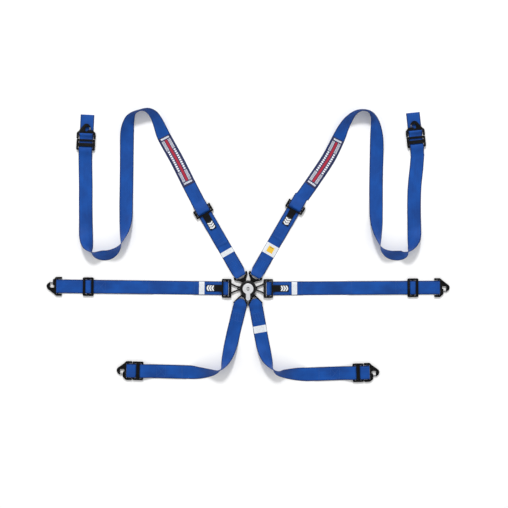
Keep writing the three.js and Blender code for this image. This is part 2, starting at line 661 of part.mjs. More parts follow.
// A crotch tongue: its blade points at the lock's axis and its bar is square to the strap.
function makeCrotchTongue(side, holder, barCentre, strapTurn) {
  const across = new THREE.Vector2(-Math.sin(radians(strapTurn)), Math.cos(radians(strapTurn)));
  const ends = [-CROTCH_BAR_HALF, CROTCH_BAR_HALF].map((offset) =>
    [barCentre[0] + across.x * offset, barCentre[1] + across.y * offset]);
  let tongue = blade(38);
  for (const [x, y] of ends) {
    const start = [34, Math.sign(y - barCentre[1]) * 5];
    const arm = stripShape(start, [34 + (x - 34) * 0.35, y * 0.7], [x, y], 5.6);
    tongue = tongue.add(plate(arm, PLATE_BOTTOM, PLATE_THICKNESS));
    tongue = tongue.add(upright(2.8, x, y, PLATE_BOTTOM, PLATE_BOTTOM + PLATE_THICKNESS, 12));
  }
  const bar = stripShape(ends[0], barCentre, ends[1], BAR_SIZE);
  tongue = tongue.add(plate(bar, PLATE_BOTTOM, PLATE_THICKNESS)).subtract(latchHole());
  add(`crotch_tongue_${side}`, geometryOf(tongue), BLACK_STEEL, holder);
}

// ---- Sliders and hooks --------------------------------------------------------------------

function makeSlider(name, holder, lift, face) {
  const outline = roundedRectangle(-SLIDER_LENGTH / 2, SLIDER_LENGTH / 2, SLIDER_WIDTH / 2, 5);
  outline.holes.push(roundedRectangle(-face.slotTo, face.slotTo, SLIDER_SLOT_HALF_WIDTH, 1));
  const bottom = SLIDER_BOTTOM + lift;
  const barBottom = bottom + face.barBottom;
  let slider = plate(outline, bottom, SLIDER_THICKNESS, 4);
  const barReach = SLIDER_SLOT_HALF_WIDTH + 1;
  slider = slider.add(block(-face.barHalf, face.barHalf, -barReach, barReach,
    barBottom, barBottom + 2.6));
  add(name, geometryOf(slider), BLACK_STEEL, holder);
}

function makeHook(name, holder, mouthSide) {
  const bottom = -HOOK_THICKNESS / 2;
  const outline = new THREE.Shape();
  const w = HOOK_BASE_HALF_WIDTH;
  const meet = radians(42);
  const tipX = HOOK_TIP_CENTRE + HOOK_TIP_RADIUS * Math.sin(meet);
  const tipY = HOOK_TIP_RADIUS * Math.cos(meet);
  outline.moveTo(-HOOK_BAR_HALF, -HOOK_EAR_INSIDE);
  outline.lineTo(-HOOK_EAR_BACK + 1, -HOOK_EAR_INSIDE);
  outline.quadraticCurveTo(-HOOK_EAR_BACK - 1.5, -w, -HOOK_EAR_BACK + 4, -w);
  outline.lineTo(3, -w);
  outline.quadraticCurveTo(8, -w + 1, 11, -w + 6);
  outline.lineTo(tipX, -tipY);
  outline.absarc(HOOK_TIP_CENTRE, 0, HOOK_TIP_RADIUS, -Math.PI / 2 + meet, Math.PI / 2 - meet, false);
  outline.lineTo(11, w - 6);
  outline.quadraticCurveTo(8, w - 1, 3, w);
  outline.lineTo(-HOOK_EAR_BACK + 4, w);
  outline.quadraticCurveTo(-HOOK_EAR_BACK - 1.5, w, -HOOK_EAR_BACK + 1, HOOK_EAR_INSIDE);
  outline.lineTo(-HOOK_BAR_HALF, HOOK_EAR_INSIDE);
  outline.holes.push(roundedRectangle(HOOK_BAR_HALF, HOOK_SLOT_END, HOOK_SLOT_HALF_WIDTH, 1));
  const eye = [HOOK_EYE_FROM + HOOK_EYE_RADIUS, HOOK_EYE_TO - HOOK_EYE_RADIUS];
  outline.holes.push(stadium(...eye, 0, HOOK_EYE_RADIUS));
  const mouth = mouthSide > 0
    ? block(HOOK_MOUTH_FROM, HOOK_MOUTH_TO, 2, w, bottom - 1, -bottom + 1)
    : block(HOOK_MOUTH_FROM, HOOK_MOUTH_TO, -w, -2, bottom - 1, -bottom + 1);
  const hook = plate(outline, bottom, HOOK_THICKNESS, 6).subtract(mouth);
  add(`${name}_hook`, geometryOf(hook), BLACK_STEEL, holder);

  const [pivotX, pivotY] = GATE_PIVOT;
  const gate = stadium(pivotX, pivotX + GATE_REACH, mouthSide * pivotY, GATE_RADIUS);
  add(`${name}_gate`, geometryOf(plate(gate, bottom + 0.4, HOOK_THICKNESS - 0.8, 6)), BRIGHT_STEEL, holder);
}

// ---- Assemblies ---------------------------------------------------------------------------

function alongFrom(origin, heading, distance) {
  const angle = radians(heading);
  return [origin[0] + Math.cos(angle) * distance, origin[1] + Math.sin(angle) * distance];
}

const LAPS = [
  { side: "left", heading: 179.3, frameStart: 61, sliderAt: 584, tailEnd: 356, mouthSide: -1 },
  { side: "right", heading: 0.3, frameStart: 56, sliderAt: 602, tailEnd: 372, mouthSide: -1 },
];

function makeLap({ side, heading, frameStart, sliderAt, tailEnd, mouthSide }) {
  const holder = placed(0, 0, heading);
  makeLapTongue(side, frameStart, holder);
  const profile = [
    ...lapWrap(frameStart),
    [LAP_TAIL_END + 10, FLOOR_LAYER],
    [tailEnd - 14, FLOOR_LAYER],
    [tailEnd - 8, 1.5],
    [tailEnd - 2, SECOND_LAYER],
    ...doubledEnd(sliderAt, LAP_HOOK, tailEnd),
  ];
  add(`lap_strap_${side}`, ribbon(profileFrames([0, 0], heading, profile)), BLUE_WEBBING);
  const barAt = frameStart + LAP_FRAME_LENGTH - FRAME_BAR_WIDTH / 2;
  const tab = tabProfile(barAt, PLATE_MIDDLE, SECOND_LAYER + 1.75, TAB_REACH, 1, 70);
  add(`lap_pull_tab_${side}`, ribbon(profileFrames([0, 0], heading, tab), TAB_THICKNESS), BLACK_WEBBING);
  makeSlider(`lap_slider_${side}`, placed(...alongFrom([0, 0], heading, sliderAt), heading), 0, FACE_UP);
  const hookAt = alongFrom([0, 0], heading, LAP_HOOK);
  makeHook(`lap_${side}`, placed(...hookAt, heading, LOW_BAR_HEIGHT), mouthSide);
}

// Stations of the two upper shoulder straps: [x, y, roll].
const LEFT_SHOULDER_STATIONS = [
  [-187, 325, 0], [-215, 379, 0], [-261, 471, 0], [-300, 541, -3], [-311, 563, -12],
  [-320, 586, -26], [-330, 610, -38], [-342, 631, -50], [-360, 645, -70], [-386, 649, -94],
  [-411, 640, -90], [-427, 622, -64], [-436, 598, -43], [-441, 570, -22], [-443, 530, -6],
  [-444, 450, 0], [-445, 370, 0], [-446, 305, 3], [-446, 262, 10], [-448, 223, 32],
  [-454.5, 187, 60], [-464, 158, 88], [-483, 137, 115], [-506, 124, 132], [-530, 121, 135],
  [-555, 124.5, 117], [-571, 134, 92], [-580, 146, 66], [-587, 167, 40], [-591, 193, 20],
  [-593, 226, 4], [-594, 300, 0], [-594, 380, 0], [-595, 450, 0],
];
const RIGHT_SHOULDER_STATIONS = [
  [199, 336, 0], [243, 399, 0], [295, 478, 4], [331, 550, 20], [347, 585, 38], [366, 615, 55],
  [389, 638, 76], [414, 648, 92], [437, 645, 94], [452, 630, 82], [461, 606, 63], [466, 577, 44],
  [469, 545, 25], [470, 500, 7], [469, 440, 0], [468, 370, 0], [468, 305, -3], [468, 262, -10],
  [470, 213, -38], [475, 177, -64], [483, 150, -88], [499, 134, -110], [520.5, 123.5, -128],
  [543, 120.5, -134], [564, 123, -128], [577.5, 130, -108], [588, 140, -84], [600, 163, -54],
  [605.5, 187, -28], [607.5, 222, -6], [607, 300, 0], [609, 372, 0], [616, 440, 0],
];
const SHOULDERS = [
  { side: "left", heading: 120, adjusterAt: 326, tailEnd: 185, stations: LEFT_SHOULDER_STATIONS,
    patchStart: 60, end: [-594, 500], endHeading: 87.2, sliderAt: 25, mouthSide: -1, tailPastHook: 73.5 },
  { side: "right", heading: 60, adjusterAt: 343, tailEnd: 211, stations: RIGHT_SHOULDER_STATIONS,
    patchStart: 48, end: [616.7, 510.5], endHeading: 96, sliderAt: 25, mouthSide: 1, tailPastHook: 71 },
];

// The woven patch lies on the strap's upper face, between two distances along it.
function patchFrames(stations, start) {
  let length = 0;
  const frames = laidFrames(stations).filter(({ point }, i, all) => {
    length += i > 0 ? point.distanceTo(all[i - 1].point) : 0;
    return length > start && length < start + PATCH_LENGTH;
  });
  for (const frame of frames) {
    frame.point.addScaledVector(frame.up, (WEB_THICKNESS + PATCH_THICKNESS) / 2 + 0.45);
    frame.width = PATCH_WIDTH;
  }
  return frames;
}

function makeShoulder({ side, heading, adjusterAt, tailEnd, stations, patchStart, end, endHeading, sliderAt,
  mouthSide, tailPastHook }) {
  makeShoulderTongue(side, placed(0, 0, heading));
  const lower = profileFrames([0, 0], heading, shoulderLowerProfile(adjusterAt));
  add(`shoulder_lower_strap_${side}`, ribbon(lower), BLUE_WEBBING);
  makeShoulderAdjuster(side, placed(...alongFrom([0, 0], heading, adjusterAt), heading));

  const upper = [
    ...profileFrames([0, 0], heading, shoulderWrap(adjusterAt, tailEnd)),
    ...laidFrames(stations),
    ...profileFrames(end, endHeading, [[-26, 1.2], [-17, 2.6], ...foldedEnd(sliderAt, tailPastHook)]),
  ];
  add(`shoulder_upper_strap_${side}`, ribbon(upper), BLUE_WEBBING);

  const tab = tabProfile(adjusterAt + (FRONT_BAR_FROM + FRONT_BAR_TO) / 2, SHOULDER_FRONT_BAR_HEIGHT,
    THIRD_LAYER + 1.75, SHOULDER_TAB_REACH, -1, 90);
  add(`shoulder_pull_tab_${side}`, ribbon(profileFrames([0, 0], heading, tab), TAB_THICKNESS), BLACK_WEBBING);
  makeSlider(`shoulder_slider_${side}`, placed(...alongFrom(end, endHeading, sliderAt), endHeading),
    SHOULDER_SLIDER_LIFT, FACE_DOWN);
  const hookAt = alongFrom(end, endHeading, sliderAt + SLIDER_TO_HOOK);
  makeHook(`shoulder_${side}`, placed(...hookAt, endHeading, HIGH_BAR_HEIGHT), mouthSide);

  add(`shoulder_patch_${side}`, ribbon(patchFrames(stations, patchStart), PATCH_THICKNESS), NAVY_WEAVE);
}

// The crotch straps run down from the lock, turn over at a standing bend and run outwards.
const CROTCHES = [
  { side: "left", blade: 235, heading: 256.5, bar: [-28, -56.2], mouthSide: 1,
    stations: [[-53, -160, 0], [-61, -196, 6], [-69, -228, 26], [-78, -255, 46], [-88, -277, 68],
      [-100, -293, 92], [-124, -302, 120], [-150, -305.5, 138], [-178, -306.5, 155], [-207, -306, 176]],
    end: [-290, -303.5], endHeading: 178.4, sliderAt: 112.5, tailEnd: -55 },
  { side: "right", blade: 305, heading: 280.2, bar: [27, -56.2], mouthSide: -1,
    stations: [[45, -160, 0], [52, -196, -3], [59.5, -228, -20], [68.5, -255, -42], [79, -275, -66],
      [92, -292, -92], [110, -305, -118], [130, -308, -133], [155, -310, -148], [185, -312, -166],
      [215, -314, -180]],
    end: [240, -313], endHeading: 2, sliderAt: 162, tailEnd: 12 },
];

// A loose loop round the tongue's bar, bunched where it runs up between the tongue's arms.
function crotchLoop() {
  const bunched = ([u, z]) => [u, z, 24 + (u + 14.7) * 2.8];
  return [[64, FLOOR_LAYER], [10, FLOOR_LAYER, 49], [4, FLOOR_LAYER, 47], [-3, FLOOR_LAYER, 43],
    [-9, FLOOR_LAYER, 34], ...arc(-14.7, 4.85, LOOP_RADIUS, 270, 90, 12).map(bunched), [-9, 8.95, 34],
    [-3, 9, 43], [4, 8.9, 47], [10, 7.2, 49], [16, 4.8], [22, 3.1], [32, SECOND_LAYER], [66, SECOND_LAYER],
    [72, 1.7], [79, FLOOR_LAYER]];
}

function makeCrotch({ side, blade: bladeHeading, heading, bar, mouthSide, stations, end, endHeading, sliderAt,
  tailEnd }) {
  const holder = placed(0, 0, bladeHeading);
  const local = new THREE.Vector2(...bar).rotateAround(new THREE.Vector2(), -radians(bladeHeading));
  makeCrotchTongue(side, holder, [local.x, local.y], heading - bladeHeading);
  const frames = [...profileFrames(bar, heading, crotchLoop()), ...laidFrames(stations)];
  const far = profileFrames(end, endHeading, crossedEnd(sliderAt, tailEnd));
  for (const frame of far) {
    frame.side.negate();
    frame.up.negate();
  }
  const lead = profileFrames(end, endHeading, [[tailEnd - 18, FLOOR_LAYER], [tailEnd - 12, 1.1],
    [tailEnd - 7, 2.2], [tailEnd - 3, SECOND_LAYER], [tailEnd + 4, SECOND_LAYER]]);
  for (const frame of lead) {
    frame.side.negate();
    frame.up.negate();
  }
  add(`crotch_strap_${side}`, ribbon([...frames, ...lead, ...far]), BLUE_WEBBING);
  const sliderHolder = placed(...alongFrom(end, endHeading, sliderAt), endHeading);
  makeSlider(`crotch_slider_${side}`, sliderHolder, 0, FACE_DOWN);
  const hookAt = alongFrom(end, endHeading, sliderAt + SLIDER_TO_HOOK);
  makeHook(`crotch_${side}`, placed(...hookAt, endHeading, LOW_BAR_HEIGHT), mouthSide);
}

makeLock();
makeLever();
LAPS.forEach(makeLap);
SHOULDERS.forEach(makeShoulder);
CROTCHES.forEach(makeCrotch);

export default group;
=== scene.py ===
"""Looks of a six-point racing harness that lies spread out flat, seen from straight above.

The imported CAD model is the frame. Webbing follows the CAD routes with a finer section, metal parts
are CAD solids with rounded edges, and trim such as labels, rivets and stitching is added here.
Shapes are worked out in millimetres and turned into metres when a mesh is made.
"""

import bisect
import json
import math

import bmesh
import bpy
from mathutils import Matrix, Vector

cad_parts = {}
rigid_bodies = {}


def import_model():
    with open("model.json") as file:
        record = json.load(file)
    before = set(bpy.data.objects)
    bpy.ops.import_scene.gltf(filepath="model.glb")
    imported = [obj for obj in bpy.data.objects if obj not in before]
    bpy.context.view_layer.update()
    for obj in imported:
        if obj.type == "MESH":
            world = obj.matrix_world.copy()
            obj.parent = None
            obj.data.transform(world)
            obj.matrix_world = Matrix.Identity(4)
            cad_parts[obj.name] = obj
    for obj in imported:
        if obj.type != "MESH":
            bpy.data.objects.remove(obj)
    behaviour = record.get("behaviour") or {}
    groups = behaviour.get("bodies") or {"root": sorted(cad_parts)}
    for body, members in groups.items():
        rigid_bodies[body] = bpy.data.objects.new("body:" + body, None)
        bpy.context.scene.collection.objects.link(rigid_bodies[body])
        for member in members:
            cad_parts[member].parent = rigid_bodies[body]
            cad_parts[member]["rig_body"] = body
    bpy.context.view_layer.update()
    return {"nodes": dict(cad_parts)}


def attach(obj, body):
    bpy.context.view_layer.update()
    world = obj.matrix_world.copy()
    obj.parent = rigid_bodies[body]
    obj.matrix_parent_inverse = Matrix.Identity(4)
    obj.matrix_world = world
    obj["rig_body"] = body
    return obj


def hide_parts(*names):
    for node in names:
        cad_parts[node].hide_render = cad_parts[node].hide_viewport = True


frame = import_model()
NODES = frame["nodes"]
MM = 0.001
UP = Vector((0, 0, 1))
LOCK = (0, 0)

# Webbing
WEB_WIDTH = 50
WEB_THICKNESS = 1.5
LAYER_STEP = 1.85
FLOOR_LAYER = WEB_THICKNESS / 2
SECOND_LAYER = FLOOR_LAYER + LAYER_STEP
THIRD_LAYER = SECOND_LAYER + LAYER_STEP
STRAIGHT_FROM = 12
STEP = 6
WOVEN_STEPS = 6

# Patches, labels and tabs
PATCH_LENGTH = 203
PATCH_WIDTH = 44
PATCH_THICKNESS = 1
LABEL_THICKNESS = 0.35
TAB_WIDTH = 25
TAB_THICKNESS = 1.2
TAB_BEND_RADIUS = 4
TAB_REACH = 60
SHOULDER_TAB_REACH = 62

# Hardware that the webbing goes round
PLATE_MIDDLE = 5.95
LOOP_RADIUS = 4.05
SLIDE_LOOP_RADIUS = 5.05
SLIDER_BOTTOM = 4
SLIDER_THICKNESS = 3
SHOULDER_SLIDER_LIFT = 1.8
FACE_UP = {"slot": (4.5, 11), "outside": FLOOR_LAYER, "rise": 5.9}
FACE_DOWN = {"slot": (6.9, 12.9), "outside": 8.05, "rise": -5.55}
LOW_BAR_HEIGHT = FLOOR_LAYER + LOOP_RADIUS
HIGH_BAR_HEIGHT = SECOND_LAYER + LOOP_RADIUS
LAP_TAIL_END = 201
LAP_LABEL = (159.5, 179.3)
LAP_FRAME_LENGTH = 35
FRAME_BAR_WIDTH = 5.5
SHOULDER_BAR = 55.5
SHOULDER_HEM_END = 120
SHOULDER_SLIDE_HEIGHT = 8.1
SHOULDER_FRONT_BAR = (-12.15, 7.45)
SLIDER_TO_HOOK = 37.5
LAP_HOOK = 696
GATE_PIVOT = (19.5, 13)

LAPS = [
    {"side": "left", "heading": 179.3, "frame": 61, "slider": 584, "tail": 356, "mouth": -1},
    {"side": "right", "heading": 0.3, "frame": 56, "slider": 602, "tail": 372, "mouth": -1},
]
# Stations of an upper shoulder strap are [x, y, roll]. A roll stands the strap on one of its edges.
SHOULDERS = [
    {"side": "left", "heading": 120, "adjuster": 326, "tail": 185, "patch": 60, "end": (-594, 500),
     "end_heading": 87.2, "slider": 25, "mouth": -1, "past_hook": 73.5, "label": (143.5, 161.5),
     "stations": [
         (-187, 325, 0), (-215, 379, 0), (-261, 471, 0), (-300, 541, -3), (-311, 563, -12),
         (-320, 586, -26), (-330, 610, -38), (-342, 631, -50), (-360, 645, -70), (-386, 649, -94),
         (-411, 640, -90), (-427, 622, -64), (-436, 598, -43), (-441, 570, -22), (-443, 530, -6),
         (-444, 450, 0), (-445, 370, 0), (-446, 305, 3), (-446, 262, 10), (-448, 223, 32),
         (-454.5, 187, 60), (-464, 158, 88), (-483, 137, 115), (-506, 124, 132), (-530, 121, 135),
         (-555, 124.5, 117), (-571, 134, 92), (-580, 146, 66), (-587, 167, 40), (-591, 193, 20),
         (-593, 226, 4), (-594, 300, 0), (-594, 380, 0), (-595, 450, 0)]},
    {"side": "right", "heading": 60, "adjuster": 343, "tail": 211, "patch": 48, "end": (616.7, 510.5),
     "end_heading": 96, "slider": 25, "mouth": 1, "past_hook": 71, "label": (143.5, 184.5),
     "stations": [
         (199, 336, 0), (243, 399, 0), (295, 478, 4), (331, 550, 20), (347, 585, 38),
         (366, 615, 55), (389, 638, 76), (414, 648, 92), (437, 645, 94), (452, 630, 82),
         (461, 606, 63), (466, 577, 44), (469, 545, 25), (470, 500, 7), (469, 440, 0),
         (468, 370, 0), (468, 305, -3), (468, 262, -10), (470, 213, -38), (475, 177, -64),
         (483, 150, -88), (499, 134, -110), (520.5, 123.5, -128), (543, 120.5, -134),
         (564, 123, -128), (577.5, 130, -108), (588, 140, -84), (600, 163, -54), (605.5, 187, -28),
         (607.5, 222, -6), (607, 300, 0), (609, 372, 0), (616, 440, 0)]},
]
CROTCHES = [
    {"side": "left", "heading": 256.5, "bar": (-28, -56.2), "mouth": 1, "end": (-290, -303.5),
     "end_heading": 178.4, "slider": 112.5, "tail": -55,
     "stations": [
         (-53, -160, 0), (-61, -196, 6), (-69, -228, 26), (-78, -255, 46), (-88, -277, 68),
         (-100, -293, 92), (-124, -302, 120), (-150, -305.5, 138), (-178, -306.5, 155),
         (-207, -306, 176)]},
    {"side": "right", "heading": 280.2, "bar": (27, -56.2), "mouth": -1, "end": (240, -313),
     "end_heading": 2, "slider": 162, "tail": 12,
     "stations": [
         (45, -160, 0), (52, -196, -3), (59.5, -228, -20), (68.5, -255, -42), (79, -275, -66),
         (92, -292, -92), (110, -305, -118), (130, -308, -133), (155, -310, -148),
         (185, -312, -166), (215, -314, -180)]},
]

# Camera, straight above the spread harness
CAMERA_AT = Vector((0.0216, 0.1263, 3.0))
CAMERA_LENS = 58.1

# A soft sky that is darker overhead, so that black parts stay black, and one key light beyond the top edge
SKY_STRENGTH = 0.9
DARK_OVERHEAD = 0.42
KEY_AT = (-0.5, 6.2, 6.4)
KEY_TARGET = (0, 0.1, 0)
KEY_SIZE = 1.5
KEY_POWER = 490


def make_camera():
    data = bpy.data.cameras.new("camera")
    data.lens = CAMERA_LENS
    data.sensor_width = 36
    camera = bpy.data.objects.new("camera", data)
    camera.location = CAMERA_AT
    bpy.context.scene.collection.objects.link(camera)
    bpy.context.scene.camera = camera


def make_key_light():
    data = bpy.data.lights.new("key", "AREA")
    data.shape = "DISK"
    data.size = KEY_SIZE
    data.energy = KEY_POWER
    light = bpy.data.objects.new("key", data)
    light.location = KEY_AT
    light.rotation_mode = "QUATERNION"
    light.rotation_quaternion = (Vector(KEY_TARGET) - Vector(KEY_AT)).to_track_quat("-Z", "Y")
    bpy.context.scene.collection.objects.link(light)


def make_studio():
    scene = bpy.context.scene
    scene.view_settings.view_transform = "Standard"
    scene.world = bpy.data.worlds.new("studio")
    scene.world.use_nodes = True
    background = scene.world.node_tree.nodes["Background"]
    background.inputs["Strength"].default_value = SKY_STRENGTH
    tree = scene.world.node_tree
    sky = tree.nodes.new("ShaderNodeTexCoord")
    split = tree.nodes.new("ShaderNodeSeparateXYZ")
    tree.links.new(sky.outputs["Generated"], split.inputs[0])
    overhead = Field(tree, split.outputs["Z"]).ramp(0.72, 0.95)
    blend = tree.nodes.new("ShaderNodeMix")
    blend.data_type = "RGBA"
    tree.links.new(overhead.source, blend.inputs["Factor"])
    colours = [socket for socket in blend.inputs if socket.type == "RGBA"]
    colours[0].default_value = (1, 1, 1, 1)
    colours[1].default_value = (*[DARK_OVERHEAD] * 3, 1)
    result = next(socket for socket in blend.outputs if socket.type == "RGBA")
    tree.links.new(result, background.inputs["Color"])
    make_key_light()

    half = 4
    mesh = bpy.data.meshes.new("floor")
    corners = [(-half, -half), (half, -half), (half, half), (-half, half)]
    mesh.from_pydata([(x, y, -0.0002) for x, y in corners], [], [(0, 1, 2, 3)])
    floor = bpy.data.objects.new("floor", mesh)
    scene.collection.objects.link(floor)
    mesh.materials.append(floor_paint())


# ---- Materials ----


def linear(red, green, blue):
    """A colour given as 0 to 255 on a screen, in the linear values that shaders take."""
    values = (red / 255, green / 255, blue / 255)
    return (*(v / 12.92 if v < 0.04045 else ((v + 0.055) / 1.055) ** 2.4 for v in values), 1)


class Field:
    """A value that varies over a surface, worked out by Math nodes."""

    def __init__(self, tree, source):
        self.tree = tree
        self.source = source

    def of(self, operation, *others):
        node = self.tree.nodes.new("ShaderNodeMath")
        node.operation = operation
        for i, value in enumerate((self, *others)):
            if isinstance(value, Field):
                self.tree.links.new(value.source, node.inputs[i])
            else:
                node.inputs[i].default_value = value
        return Field(self.tree, node.outputs[0])

    def __add__(self, other):
        return self.of("ADD", other)

    def __sub__(self, other):
        return self.of("SUBTRACT", other)

    def __mul__(self, other):
        return self.of("MULTIPLY", other)

    def __truediv__(self, other):
        return self.of("DIVIDE", other)

    def wave(self, period):
        """From -1 to 1 and back once every period."""
        return (self * (math.tau / period)).of("SINE")

    def size(self):
        return self.of("ABSOLUTE")

    def within(self, low, high):
        """1 from low to high, and 0 outside."""
        return self.of("GREATER_THAN", low) * self.of("LESS_THAN", high)

    def either(self, other):
        return self.of("MAXIMUM", other)

    def ramp(self, low, high):
        """0 below low and 1 above high, with a smooth rise between them."""
        node = self.tree.nodes.new("ShaderNodeMapRange")
        node.interpolation_type = "SMOOTHSTEP"
        self.tree.links.new(self.source, node.inputs["Value"])
        node.inputs["From Min"].default_value = low
        node.inputs["From Max"].default_value = high
        return Field(self.tree, node.outputs["Result"])


class Finish:
    """A material with one Principled shader, and the fields that its colour and bump are made of."""

    def __init__(self, name, colour, roughness, metallic=0.0, **sockets):
        self.material = bpy.data.materials.new(name)
        self.material.use_nodes = True
        self.tree = self.material.node_tree
        self.shader = self.tree.nodes["Principled BSDF"]
        self.shader.inputs["Base Color"].default_value = colour
        self.shader.inputs["Roughness"].default_value = roughness
        self.shader.inputs["Metallic"].default_value = metallic
        for socket, value in sockets.items():
            self.shader.inputs[socket.replace("_", " ")].default_value = value

    def cloth(self):
        """Millimetres across and along a woven piece."""
        node = self.tree.nodes.new("ShaderNodeAttribute")
        node.attribute_name = "cloth"
        split = self.tree.nodes.new("ShaderNodeSeparateXYZ")
        self.tree.links.new(node.outputs["Vector"], split.inputs[0])
        return Field(self.tree, split.outputs["X"]), Field(self.tree, split.outputs["Y"])

    def place(self):
        """Millimetres along the model's own axes."""
        node = self.tree.nodes.new("ShaderNodeTexCoord")
        split = self.tree.nodes.new("ShaderNodeSeparateXYZ")
        self.tree.links.new(node.outputs["Object"], split.inputs[0])
        return [Field(self.tree, split.outputs[axis]) / MM for axis in "XYZ"]

    def noise(self, x, y, z=0.0, detail=3.0):
        """Smooth noise from 0 to 1, about one lump for each unit of x, y and z."""
        join = self.tree.nodes.new("ShaderNodeCombineXYZ")
        for i, value in enumerate((x, y, z)):
            if isinstance(value, Field):
                self.tree.links.new(value.source, join.inputs[i])
            else:
                join.inputs[i].default_value = value
        node = self.tree.nodes.new("ShaderNodeTexNoise")
        node.inputs["Scale"].default_value = 1.0
        node.inputs["Detail"].default_value = detail
        self.tree.links.new(join.outputs[0], node.inputs["Vector"])
        return Field(self.tree, node.outputs["Fac"])

    def mix(self, share, first, second):
        """The colour between two colours at that share."""
        node = self.tree.nodes.new("ShaderNodeMix")
        node.data_type = "RGBA"
        self.tree.links.new(share.source, node.inputs["Factor"])
        for name, colour in (("A", first), ("B", second)):
            socket = next(s for s in node.inputs if s.name == name and s.type == "RGBA")
            if isinstance(colour, tuple):
                socket.default_value = colour
            else:
                self.tree.links.new(colour, socket)
        return next(s for s in node.outputs if s.type == "RGBA")

    def colour(self, source):
        self.tree.links.new(source, self.shader.inputs["Base Color"])

    def roughness(self, field):
        self.tree.links.new(field.source, self.shader.inputs["Roughness"])

    def bump(self, field, height, strength=1.0):
        """Raises the surface by up to height, in millimetres, where the field is 1."""
        node = self.tree.nodes.new("ShaderNodeBump")
        node.inputs["Strength"].default_value = strength
        node.inputs["Distance"].default_value = height * MM
        self.tree.links.new(field.source, node.inputs["Height"])
        self.tree.links.new(node.outputs["Normal"], self.shader.inputs["Normal"])


def weave(across, along):
    """Height of a herringbone weave: fine yarns, with ribs that change their slant every 5 mm."""
    slant = across.of("PINGPONG", 5.0)
    ribs = (along + slant * 0.9).wave(2.1)
    yarns = across.wave(0.95)
    return ribs * 0.32 + yarns * 0.18 + 0.5


def webbing(name, deep, bright, selvedge):
    finish = Finish(name, bright, 0.7, Sheen_Weight=0.05, Sheen_Roughness=0.45, Specular_IOR_Level=0.2)
    across, along = finish.cloth()
    cloud = finish.noise(across / 45, along / 70)
    streak = finish.noise(across / 1.6, along / 160, detail=2.0)
    pattern = weave(across, along)
    # Colour: random tone from cloud and streak, plus painted shade in the weave's grooves, which come out
    # darker than its ribs.
    share = cloud * 0.9 + streak * 0.35 + pattern * 0.3 - 0.32
    body = finish.mix(share.ramp(0.0, 1.0), deep, bright)
    edge = across.size().ramp(21.6, 22.6) * 0.85
    finish.colour(finish.mix(edge, body, selvedge))
    finish.roughness(streak * 0.2 + 0.5)
    finish.bump(pattern, 0.22, 0.8)
    return finish.material


def black_webbing():
    """Black tab webbing with a generic white chevron mark printed near its free end."""
    finish = Finish("webbing_black", linear(17, 17, 19), 0.75, Specular_IOR_Level=0.15)
    across, along = finish.cloth()
    pattern = weave(across, along)
    # Painted shade in the weave's grooves: the colour is darkest where the weave is low.
    body = finish.mix(pattern.ramp(0.1, 0.9), linear(5, 5, 6), linear(15, 15, 17))
    chevron = (along - across.size() * 0.55).of("MODULO", 9.0).within(0.6, 6.6)
    area = along.within(2.0, 29.0) * across.size().of("LESS_THAN", 10.0)
    fringe = finish.noise(across / 0.7, along / 0.7) * 0.25 + 0.75
    finish.colour(finish.mix(chevron * area * fringe, body, linear(236, 238, 240)))
    finish.bump(pattern, 0.2, 0.8)
    return finish.material


def patch_weave():
    """A woven badge: navy ground, red centre band, white lines, and plain white blocks between them."""
    finish = Finish("patch_navy", linear(18, 26, 76), 0.7, Sheen_Weight=0.15, Sheen_Roughness=0.5)
    across, along = finish.cloth()
    aside = across.size()
    from_end = ((along - PATCH_LENGTH / 2).size() * -1) + PATCH_LENGTH / 2
    threads = along.wave(0.8) * 0.25 + across.wave(0.8) * 0.25 + 0.5
    # Painted shade between the threads: the ground is darker where the threads' relief is low.
    ground = finish.mix(threads, linear(12, 19, 62), linear(20, 30, 84))
    red = aside.of("LESS_THAN", 4.6) * from_end.of("GREATER_THAN", 18.0)
    lines = aside.within(7.4, 9.2).either(aside.within(11.2, 12.8)).either(aside.within(14.8, 16.6))
    lines = lines * from_end.within(18.0, 57.0)
    blocks = (along / 8.6).of("FRACT").of("LESS_THAN", 0.66) * aside.within(8.2, 15.6)
    blocks = blocks * from_end.of("GREATER_THAN", 60.0)
    end_bar = from_end.within(7.5, 14.0) * aside.of("LESS_THAN", 16.5)
    flecks = finish.noise(across / 1.1, along / 2.6).ramp(0.42, 0.5)
    white = lines.either(blocks).either(end_bar * flecks)
    banded = finish.mix(red, ground, linear(160, 5, 44))
    finish.colour(finish.mix(white, banded, linear(226, 230, 240)))
    finish.bump(threads, 0.15, 0.8)
    return finish.material


def label_weave(name, printed=None):
    """White satin label with faint grey rows, and a yellow square where printed is the label's middle."""
    finish = Finish(name, linear(236, 240, 244), 0.5, Sheen_Weight=0.2, Sheen_Roughness=0.4)
    across, along = finish.cloth()
    threads = along.wave(0.5) * 0.25 + across.wave(0.5) * 0.25 + 0.5
    # Painted shade between the threads: the ground is greyer where the threads' relief is low.
    ground = finish.mix(threads, linear(206, 211, 217), linear(226, 230, 234))
    rows = (along / 3.6).of("FRACT").within(0.3, 0.62)
    marks = finish.noise(across / 2.2, (along / 3.6).of("FLOOR") * 7.3).ramp(0.45, 0.6)
    area = across.size().of("LESS_THAN", 15.0)
    body = finish.mix(rows * marks * area * 0.6, ground, linear(96, 98, 104))
    if printed:
        square = (along - printed).size().of("LESS_THAN", 11.5) * across.size().of("LESS_THAN", 11.5)
        shade = finish.noise(across / 9, along / 9)
        yellow = finish.mix(shade, linear(220, 170, 30), linear(234, 196, 60))
        body = finish.mix(square, body, yellow)
        bar = (along - printed - 8).size().of("LESS_THAN", 1.3) * across.size().of("LESS_THAN", 6.5)
        body = finish.mix(bar * 0.75, body, linear(60, 50, 25))
    finish.colour(body)
    finish.bump(threads, 0.08, 0.6)
    return finish.material


